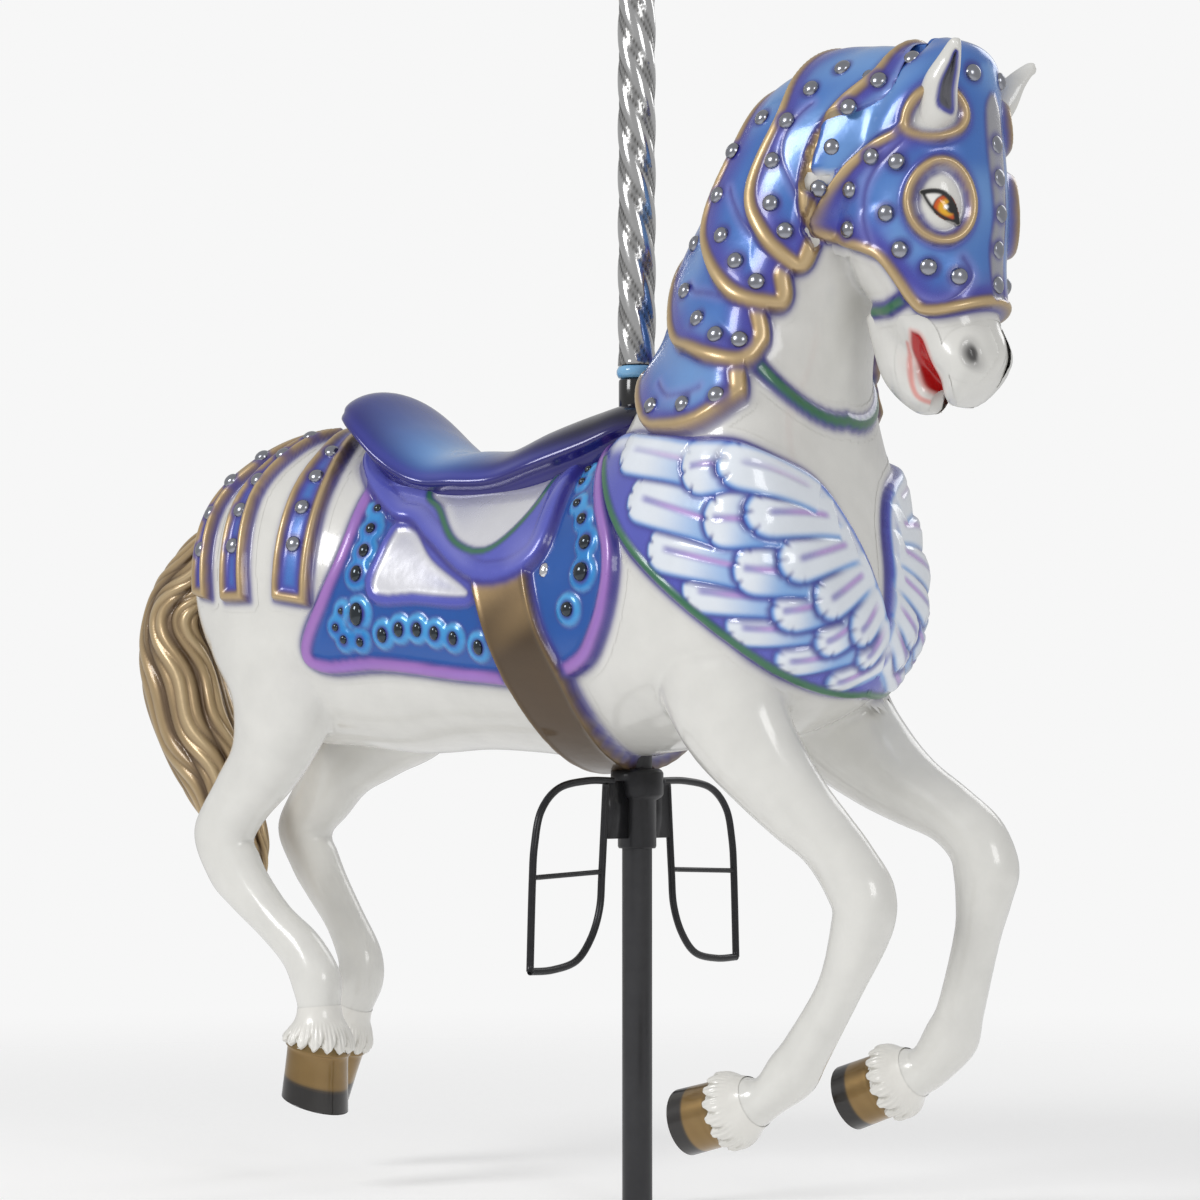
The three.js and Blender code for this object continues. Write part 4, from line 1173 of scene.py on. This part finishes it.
def clouds(shell, depth):
    """Raised rounded light-blue clouds, each with a row of gems in it."""
    for chain in GEM_CHAINS:
        e = np.full(len(depth), OUTSIDE)
        for station, angle, across, up in chain:
            e = np.maximum(e, (across + up) / 2 + 12 - shell.gap((station, angle)))
        if len(chain) > 1:
            e = np.maximum(e, 14.5 - shell.reach(np.array(chain)[:, :2]))
        e = np.where(depth > 23, e, OUTSIDE)
        tall = shell.line(chain[0][:2])[0][2]
        shell.lay(smooth(-3.6, -1.4, e), OUTLINE)
        shell.lay(smooth(-0.6, 1.6, e), AQUA_LIGHT)
        fade = smooth(15, -35, shell.near[:, 2] - tall)
        shell.lay(smooth(1, 4, e) * (0.35 + 0.65 * fade), AQUA)
        shell.height += 4.5 * smooth(-2, 6, e)
        for station, angle, across, up in chain:
            away = shell.gap((station, angle)) - (across + up) / 2
            shell.lay((1 - smooth(1, 4, away)) * (depth > 20), OUTLINE)


def framed_panel(shell, places, frame, height):
    """A silver panel inside a periwinkle frame."""
    outline = curve(places + places[:1])
    depth = shell.region(outline[:-1], outline)
    shell.lay(smooth(-frame - 3, -frame - 1, depth), OUTLINE)
    shell.lay(smooth(-frame, -frame + 2, depth), PERIWINKLE)
    shell.height += smooth(-frame - 2, -frame + 3, depth) * (height - shell.height)
    shell.bands(depth, -1.5, OUTLINE, 1.5, SILVER)
    cloudy(shell, depth, 4, SILVER_CLOUD, 0.55, 70, 6)
    shell.height -= 2.5 * smooth(-1, 4, depth)


def girth(shell):
    rear, front = curve(GIRTH_REAR), curve(GIRTH_FRONT)
    inside = within(shell.station, np.minimum(shell.angle, 183), np.vstack([rear, front[::-1]]))
    away = np.minimum(shell.reach(rear), shell.reach(front))
    depth = np.where(inside, away, -away)
    shell.glow(depth, OUTLINE, 8)
    shell.raise_to(depth, GIRTH_HEIGHT)
    shell.bands(depth, 0, BRONZE_DARK, 3.5, BRONZE)
    up = shell.near[:, 2]
    # Mottled dark bronze, more of it towards the bottom of the girth and less near its top.
    tone = 0.75 * ripple(shell.near, 45, 3) + smooth(860, 700, up) - 0.25 * smooth(900, 960, up)
    shell.lay(smooth(2, 8, depth) * smooth(0.2, 0.95, tone) * 0.95, BRONZE_DARK)
    shell.height += bead(depth, 1, 10, 1.8)


def flap(shell):
    outline = curve(FLAP)
    depth = shell.region(outline, outline)
    shell.glow(depth, OUTLINE, 7)
    shell.raise_to(depth, FLAP_HEIGHT)
    shell.bands(depth, 0, OUTLINE, 3, PERIWINKLE, 26, OUTLINE, 28.5, PERIWINKLE)
    shell.height += bead(depth, 1, 27, 3)
    cloudy(shell, depth, 5, LILAC_BLUE, 0.5, 40, 12)
    inner = curve(FLAP_PANEL)
    panel = shell.region(inner, inner)
    shell.bands(panel, -12, OUTLINE, -10, GREEN, -2.5, OUTLINE, 0.5, SILVER)
    cloudy(shell, panel, 3, SILVER_CLOUD, 0.6, 75, 9)
    shell.height -= 2.5 * smooth(-2, 4, panel)


def saddle_cloth():
    shell = Shell(on(TRUNK), (4.0, 9.9), (-180, 180), 2.55)
    depth = blanket(shell)
    clouds(shell, depth)
    framed_panel(shell, CORNER_PANEL, 13, PANEL_HEIGHT)
    girth(shell)
    flap(shell)
    shell.piece("saddle_cloth")
    for side in (1, -1):
        for station, angle, across, up in sum(GEM_CHAINS, []):
            point, out = shell.top((station, angle), side)
            GEMS.append((point, out, across, up, across * 0.75))
        point, out = shell.top(PEARL, side)
        PEARLS.append((point, out, 8, 11, 5))


# ---- rump straps ----

# Each strap's middle line from the saddle down, and their half widths in stations.
RUMP_STRAPS = [
    [(4.1, 5), (4.3, 30), (4.3, 55), (4.2, 95)],
    [(3.8, 5), (3.5, 30), (3.1, 55), (3.1, 95)],
    [(3.5, 5), (2.9, 30), (2.1, 55), (2.1, 95)],
]
STRAP_HALF_WIDTHS = [0.16, 0.2, 0.27, 0.3]
# Studs down each strap: how many, and the first one's place along the strap, counted in its places.
STRAP_STUD_ROWS = [(4, 1), (5, 0.6), (4, 1)]
STRAP_STUDS_END = 2.45
STRAP_STUDS = sum(
    (spread(along(line, np.linspace(start, STRAP_STUDS_END, 8)), count)
     for line, (count, start) in zip(RUMP_STRAPS, STRAP_STUD_ROWS)),
    [],
)


def rump_straps():
    shell = Shell(on(TRUNK), (1.3, 4.9), (-104, 104), 2.5)
    for middle in reversed(RUMP_STRAPS):
        fine = curve([(s, a, half) for (s, a), half in zip(middle, STRAP_HALF_WIDTHS)])
        rear = fine[:, :2] - fine[:, 2:] * np.array([1, 0])
        front = fine[:, :2] + fine[:, 2:] * np.array([1, 0])
        edge = np.vstack([rear, front[::-1]])
        depth = shell.region(edge, edge)
        shell.glow(depth, OUTLINE, 8)
        shell.raise_to(depth, RUMP_STRAP_HEIGHT)
        shell.height += bead(depth, 0.5, 14, 4)
        # Gold rim with painted shade at both edges and a painted highlight along its crest.
        shell.bands(depth, 0, GOLD_PAINTED_SHADE, 2.5, GOLD, 5, GOLD_PAINTED_HIGHLIGHT, 8, GOLD, 12, GOLD_PAINTED_SHADE)
        shell.bands(depth, 14, OUTLINE, 16, SHADOW_BLUE)
        shell.lay(smooth(18, 28, depth), BLUE)
        shell.height -= 2.5 * smooth(14, 18, depth)
    stud_rings(shell, STRAP_STUDS)
    shell.piece("rump_straps")
    for place in STRAP_STUDS:
        stud(shell, place)


# ---- domes ----


def dome(point, out, half_across, half_up, height):
    """Points and faces of a half ball standing on a surface."""
    rings, sides = 7, 20
    out = out / np.linalg.norm(out)
    up = np.array([0, 0, 1.0]) - out[2] * out
    up /= np.linalg.norm(up)
    across = np.cross(up, out)
    turn = np.arange(sides)[:, None] * 2 * math.pi / sides
    round_it = half_across * np.cos(turn) * across + half_up * np.sin(turn) * up
    points = []
    for i in range(rings):
        tilt = i * math.pi / 2 / (rings - 1) * 0.97
        rise = height * math.sin(tilt) - 1.5 * (i == 0)
        points.append(point + math.cos(tilt) * round_it + rise * out)
    points = np.concatenate(points)
    faces = grid_faces(rings, sides, True).tolist()
    return points, faces + [list(range(len(points) - sides, len(points)))]


# ---- saddle, tail, ears, hooves ----


def saddle():
    """The seat: hollow in the middle, with a raised round cantle, a dark pommel and a lip round its edge; a
    painted highlight on the seat and along the rim, and painted shade under the lip.
    """

    def lip(s, a):
        away = np.abs((a + 180) % 360 - 180)
        ends = smooth(0.2, 1.2, s) * (1 - smooth(8.8, 9.8, s))
        return -15 * smooth(80, 92, away) * ends - 2.5 * np.exp(-((away - 66) / 7) ** 2) * ends

    points, faces, s, a = tube(SADDLE, 96, 12, lip)
    paint = coated(len(points), INDIGO)
    away = np.abs((a + 180) % 360 - 180)
    # Painted highlight on the seat: a soft broad one, then a bright one in the hollow.
    seat = np.exp(-((s - 4.3) / 1.15) ** 2) * np.exp(-(away / 58) ** 4)
    tint(paint, 0.45 * np.exp(-((s - 3.6) / 2) ** 2) * (1 - smooth(20, 90, away)), SEAT_SOFT_HIGHLIGHT)
    tint(paint, seat * 0.95, SEAT_HIGHLIGHT)
    # Painted highlight along the rim.
    tint(paint, 0.7 * np.exp(-((away - 70) / 8) ** 2) * smooth(1, 3, s) * (1 - smooth(7, 9, s)), SEAT_RIM_HIGHLIGHT)
    tint(paint, smooth(5.6, 8.2, s) * (1 - smooth(50, 90, away)), NAVY)
    # Painted shade under the lip.
    tint(paint, smooth(84, 88, away), SEAT_UNDERSIDE_SHADE)
    mesh_object("saddle", points, faces, paint, PAINT)


def tail():
    """Long wavy locks, deepest where they part and narrowing to the tip, with painted shade in the grooves
    and a painted highlight on the crests.
    """

    def locks(s, a):
        wave = 16 * np.sin(s * 1.25) + 9 * np.sin(s * 2.6 + 1)
        wide = np.abs(np.sin(np.radians(a + wave) * 3.5))
        fine = np.abs(np.sin(np.radians(a + wave * 1.6 + 20 * np.sin(s * 0.8)) * 9 + s * 0.7))
        size = smooth(-0.3, 1.4, s) * (1 - smooth(9.5, 11, s))
        return -(TAIL_INSET + 9 * (1 - wide ** 0.6) + 4.2 * (1 - fine ** 0.7)) * size

    points, faces, s, a = tube(TAIL_RAILS, 220, 18, locks)
    groove = np.clip((-locks(s, a) - TAIL_INSET) / 11, 0, 1)
    paint = coated(len(points), HAIR)
    # Painted shade deep in the grooves, and a painted highlight on the crests of the locks.
    tint(paint, smooth(0.1, 0.75, groove) * 0.95, HAIR_GROOVE_SHADE)
    tint(paint, (1 - smooth(0, 0.2, groove)) * 0.5, HAIR_CREST_HIGHLIGHT)
    mesh_object("tail", points, faces, paint, PAINT)


def ears():
    """Leaf-shaped ears with a dark hollow, outlined in blue, that opens forwards and out."""
    for side, name in ((1, "ear_right"), (-1, "ear_left")):
        rails = limb([[x, z, y * side, depth, width, 0] for x, z, y, depth, width, _ in EAR])

        def hollow(s, a):
            facing = (a - side * 150 + 180) % 360 - 180
            return -12 * np.exp(-(facing / 36) ** 4) * smooth(0.7, 1.4, s) * (1 - smooth(3.2, 3.9, s))

        points, faces, s, a = tube(rails, 72, 22, hollow)
        deep = np.clip(-hollow(s, a) / 11, 0, 1)
        paint = coated(len(points), WHITE)
        tint(paint, smooth(0.1, 0.35, deep), EAR_OUTLINE)
        tint(paint, smooth(0.4, 0.75, deep), EAR_HOLLOW)
        mesh_object(name, points, faces, paint, PAINT)


def hooves():
    """A bronze hoof with a dark foot on each leg, and the fur fringe that hangs over it."""
    for name, rails in LEG_RAILS.items():
        last = len(rails) - 1
        top = HOOF_TOPS[name]
        points, faces, s, a = tube(rails, 72, 24, start=top - 0.12, end=last)
        share = (s - top) / (last - top)
        paint = coated(len(points), HOOF)
        grain = 0.5 + 0.5 * np.sin(share * 34 + 2 * np.sin(np.radians(a) * 2))
        tint(paint, 0.18 * grain, HOOF_GRAIN)
        tint(paint, smooth(0.8, 0.83, share), HOOF_FOOT)
        # Painted shade at the top of the hoof, under the fringe.
        tint(paint, (1 - smooth(0.05, 0.3, share)) * 0.75, HOOF_SHADE)
        mesh_object(f"hoof_{name}", points, faces, paint, PAINT)
        fringe(name, rails, top)


def fringe(name, rails, top):
    """Locks of white fur round the top of a hoof, each pointed at its lower end."""
    u, a = np.meshgrid(np.linspace(0, 1, 44), np.arange(180) * 2.0, indexing="ij")
    lock = np.abs(((a / 360 * 15 + 0.35 * np.sin(u * 3)) % 1) * 2 - 1)
    low = top + 0.16 + 0.42 * (1 - lock) ** 0.8
    s = (top - 1.5) + (low - top + 1.5) * u
    points, out = surface(rails, s.ravel(), a.ravel())
    lift = 0.6 + 6.5 * smooth(0.25, 0.85, u) * (0.45 + 0.55 * (1 - lock) ** 0.6) - 6 * smooth(0.94, 1, u)
    ridge = 1.1 * np.sin(a / 360 * 2 * math.pi * 45 + 4 * u) * smooth(0.3, 0.7, u)
    points = points + out * (lift + ridge).ravel()[:, None]
    paint = coated(len(points), FUR)
    # Painted shade in the gaps between the locks, towards their lower ends.
    tint(paint, 0.5 * (smooth(0.5, 0.95, u) * (lock > 0.82)).ravel(), FUR_SHADE)
    mesh_object(f"fringe_{name}", points, grid_faces(*u.shape, True).tolist(), paint, PAINT)


# ---- pole and footrest ----


def rounded(radius, bottom, top, bore, soft=2.5):
    """A turned ring's profile with eased edges."""
    return [(bore, bottom), (radius - soft, bottom), (radius - 0.3 * soft, bottom + 0.3 * soft),
            (radius, bottom + soft), (radius, top - soft), (radius - 0.3 * soft, top - 0.3 * soft),
            (radius - soft, top), (bore, top)]


def twisted_sleeve():
    """Starts of rounded polished ribs, parted by narrow beads and by grooves with painted shade, wound round
    the pole.
    """
    sides, per_turn = 96, 46
    rows = int((SLEEVE["top"] - SLEEVE["bottom"]) / SLEEVE["turn"] * per_turn)
    z = np.linspace(SLEEVE["bottom"], SLEEVE["top"], rows)
    turn = np.arange(sides) * 2 * math.pi / sides
    zz, tt = np.meshgrid(z, turn, indexing="ij")
    phase = ((tt + 2 * math.pi * zz / SLEEVE["turn"]) * SLEEVE["starts"] / (2 * math.pi)) % 1
    main = np.sqrt(np.clip(1 - ((phase - 0.36) / 0.36) ** 2, 0, 1))
    small = 0.55 * np.sqrt(np.clip(1 - ((phase - 0.86) / 0.14) ** 2, 0, 1))
    radius = SLEEVE["radius"] - SLEEVE["groove"] * (1 - np.maximum(main, small))
    points = np.stack([radius * np.cos(tt), radius * np.sin(tt), zz], -1).reshape(-1, 3)
    paint = coated(len(points), RIB_BRIGHT)
    # Painted shade in the grooves between the ribs.
    tint(paint, 1 - smooth(0.1, 0.75, np.maximum(main, small).ravel()), RIB_GROOVE_SHADE)
    faces = grid_faces(rows, sides, True).tolist() + caps(len(points), sides)
    piece = mesh_object("twisted_sleeve_finish", points, faces, paint, METAL, "polished_sleeve")
    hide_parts("twisted_sleeve")


def pole_parts():
    specs = [
        ("pole", "pole_steel", DARK_STEEL, turned(rounded(POLE_RADIUS, 0, POLE_TOP, 0.01, 1.5))),
        ("pole_bush", "bush", GLOSS_BLACK, turned(rounded(25.5, 1098.3, 1154, 21.1, 3))),
        ("pole_ring", "ring", RING_BLUE, turned(rounded(28.5, 1154.3, 1173, 21.1, 7))),
        ("sleeve_cap", "polished_cap", POLISHED, turned(rounded(30, 1800.3, 1822, 21.1, 5))),
    ]
    for name, slot, material, (points, faces) in specs:
        piece = mesh_object(name + "_finish", points, faces, material=material, slot=slot)
        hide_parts(name)
    twisted_sleeve()


# The loop's outer and inner bars [y, z], and its rung.
LOOP_OUTER = [(-60, 590), (-120, 590), (-185, 580), (-225, 550), (-240, 505), (-245, 455), (-250, 335)]
LOOP_INNER = [
    (-250, 335), (-200, 335), (-145, 345), (-110, 375), (-90, 415), (-85, 460), (-80, 520), (-75, 585),
]
RUNG = [(-245, 460), (-85, 465)]


def footrest():
    """A collar under the horse with a tall web and a bent bar loop for a foot on each side."""
    parts = []
    for side in (1, -1):
        for places, radius in ((LOOP_OUTER, 5.2), (LOOP_INNER, 5.2), (RUNG, 3.6)):
            parts.append(pipe([(0, side * y, z) for y, z in places], radius))
    body = [
        (21.2, 496), (25.5, 496), (27, 499), (27, 563), (34, 567), (37, 571), (37, 601), (34.5, 605),
        (31, 607), (21.2, 607),
    ]
    parts.append(turned(body))
    for side in (1, -1):
        y0, y1, z0, z1, half = side * 22, side * 75, 510, 590, 4
        points = [(x, y, z) for x in (-half, half) for y in (y0, y1) for z in (z0, z1)]
        faces = [(0, 1, 3, 2), (4, 6, 7, 5), (0, 4, 5, 1), (2, 3, 7, 6), (0, 2, 6, 4), (1, 5, 7, 3)]
        parts.append((points, faces))
    piece = mesh_object("footrest_finish", *merged(parts), material=BLACK_STEEL, slot="footrest_steel")
    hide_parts("footrest")


TAIL_RAILS = limb(TAIL)
LEG_RAILS = {name: limb(rows) for name, rows in LEGS.items()}
HOOF_TOPS = {name: len(rows) - HOOF_TOP for name, rows in LEGS.items()}

# Places [x, z, radius] where the head is sunk for the nostrils and the mouth, and how deep.
SUNK = [(566, 1146, 32), (485, 1140, 38), (490, 1110, 32), (484, 1165, 30)]
SUNK_DEPTH = 12
body_paint = coated(len(body_points), WHITE)
horse_skin = mesh_object("horse_body", sunk(body_points, SUNK, SUNK_DEPTH), body_faces, body_paint, PAINT)
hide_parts("horse")
neck_armour(head_armour())
muzzle()
eyes()
breast_wings()
saddle_cloth()
rump_straps()
for label, places, finish_of in (("studs", STUDS, CHROME), ("gems", GEMS, GEM), ("pearls", PEARLS, POLISHED)):
    mesh_object(label, *merged([dome(*place) for place in places]), material=finish_of)
saddle()
tail()
ears()
hooves()
pole_parts()
footrest()

# ---- floor, camera and light ----


def backdrop():
    """A plain pale floor that fades into the backdrop away from the horse."""
    material, tree, shader = new_material("pale_floor")
    away = node(tree, "ShaderNodeVectorMath", operation="LENGTH")
    tree.links.new(node(tree, "ShaderNodeTexCoord").outputs["Object"], away.inputs[0])
    ends = {"interpolation_type": "SMOOTHSTEP", "From_Min": 0.9, "From_Max": 4.5}
    fade = ranged(tree, away.outputs["Value"], 1, 0, **ends)
    tree.links.new(fade, shader.inputs["Alpha"])
    adjust(shader, Base_Color=(0.8, 0.8, 0.8, 1), Roughness=0.8, Specular_IOR_Level=0)
    adjust(shader, Emission_Color=(1, 1, 1, 1), Emission_Strength=0.27)
    return material


# Lamps: name, place in metres, size and power.
LIGHTS = [
    ("key", (-1.6, -4.0, 3.2), 1.6, 85),
    ("fill", (4.2, -2.4, 2.4), 1.6, 36),
    ("rim", (0.5, 3.8, 3.4), 2, 22),
]


def studio():
    bpy.ops.mesh.primitive_plane_add(size=12)
    floor = bpy.context.object
    floor.name = "floor"
    floor.data.materials.append(backdrop())
    world = bpy.data.worlds.new("studio")
    bpy.context.scene.world = world
    world.use_nodes = True
    tree = world.node_tree
    background = tree.nodes["Background"]
    adjust(background, Color=(0.93, 0.93, 0.93, 1))
    rays = node(tree, "ShaderNodeLightPath")
    tree.links.new(ranged(tree, rays.outputs["Is Camera Ray"], 0.55, 1), background.inputs["Strength"])
    for name, place, size, power in LIGHTS:
        light = bpy.data.lights.new(name, "AREA")
        light.size, light.energy = size, power
        lamp = bpy.data.objects.new(name, light)
        bpy.context.scene.collection.objects.link(lamp)
        lamp.location = place
        lamp.rotation_euler = (Vector((0, 0, 0.9)) - Vector(place)).to_track_quat("-Z", "Y").to_euler()


# Metres, degrees and millimetres of lens.
CAMERA = {"azimuth": 35, "distance": 5.0, "height": 0.5886, "pitch": 2.917, "yaw": 0.594, "lens": 107.1}


def camera():
    turn = math.radians(CAMERA["azimuth"])
    away = CAMERA["distance"]
    data = bpy.data.cameras.new("camera")
    data.lens = CAMERA["lens"]
    data.sensor_width = 36
    made = bpy.data.objects.new("camera", data)
    bpy.context.scene.collection.objects.link(made)
    made.location = (away * math.sin(turn), -away * math.cos(turn), CAMERA["height"])
    made.rotation_euler = (math.radians(90 + CAMERA["pitch"]), 0, turn + math.radians(CAMERA["yaw"]))
    bpy.context.scene.camera = made


studio()
camera()
bpy.context.scene.view_settings.view_transform = "Standard"
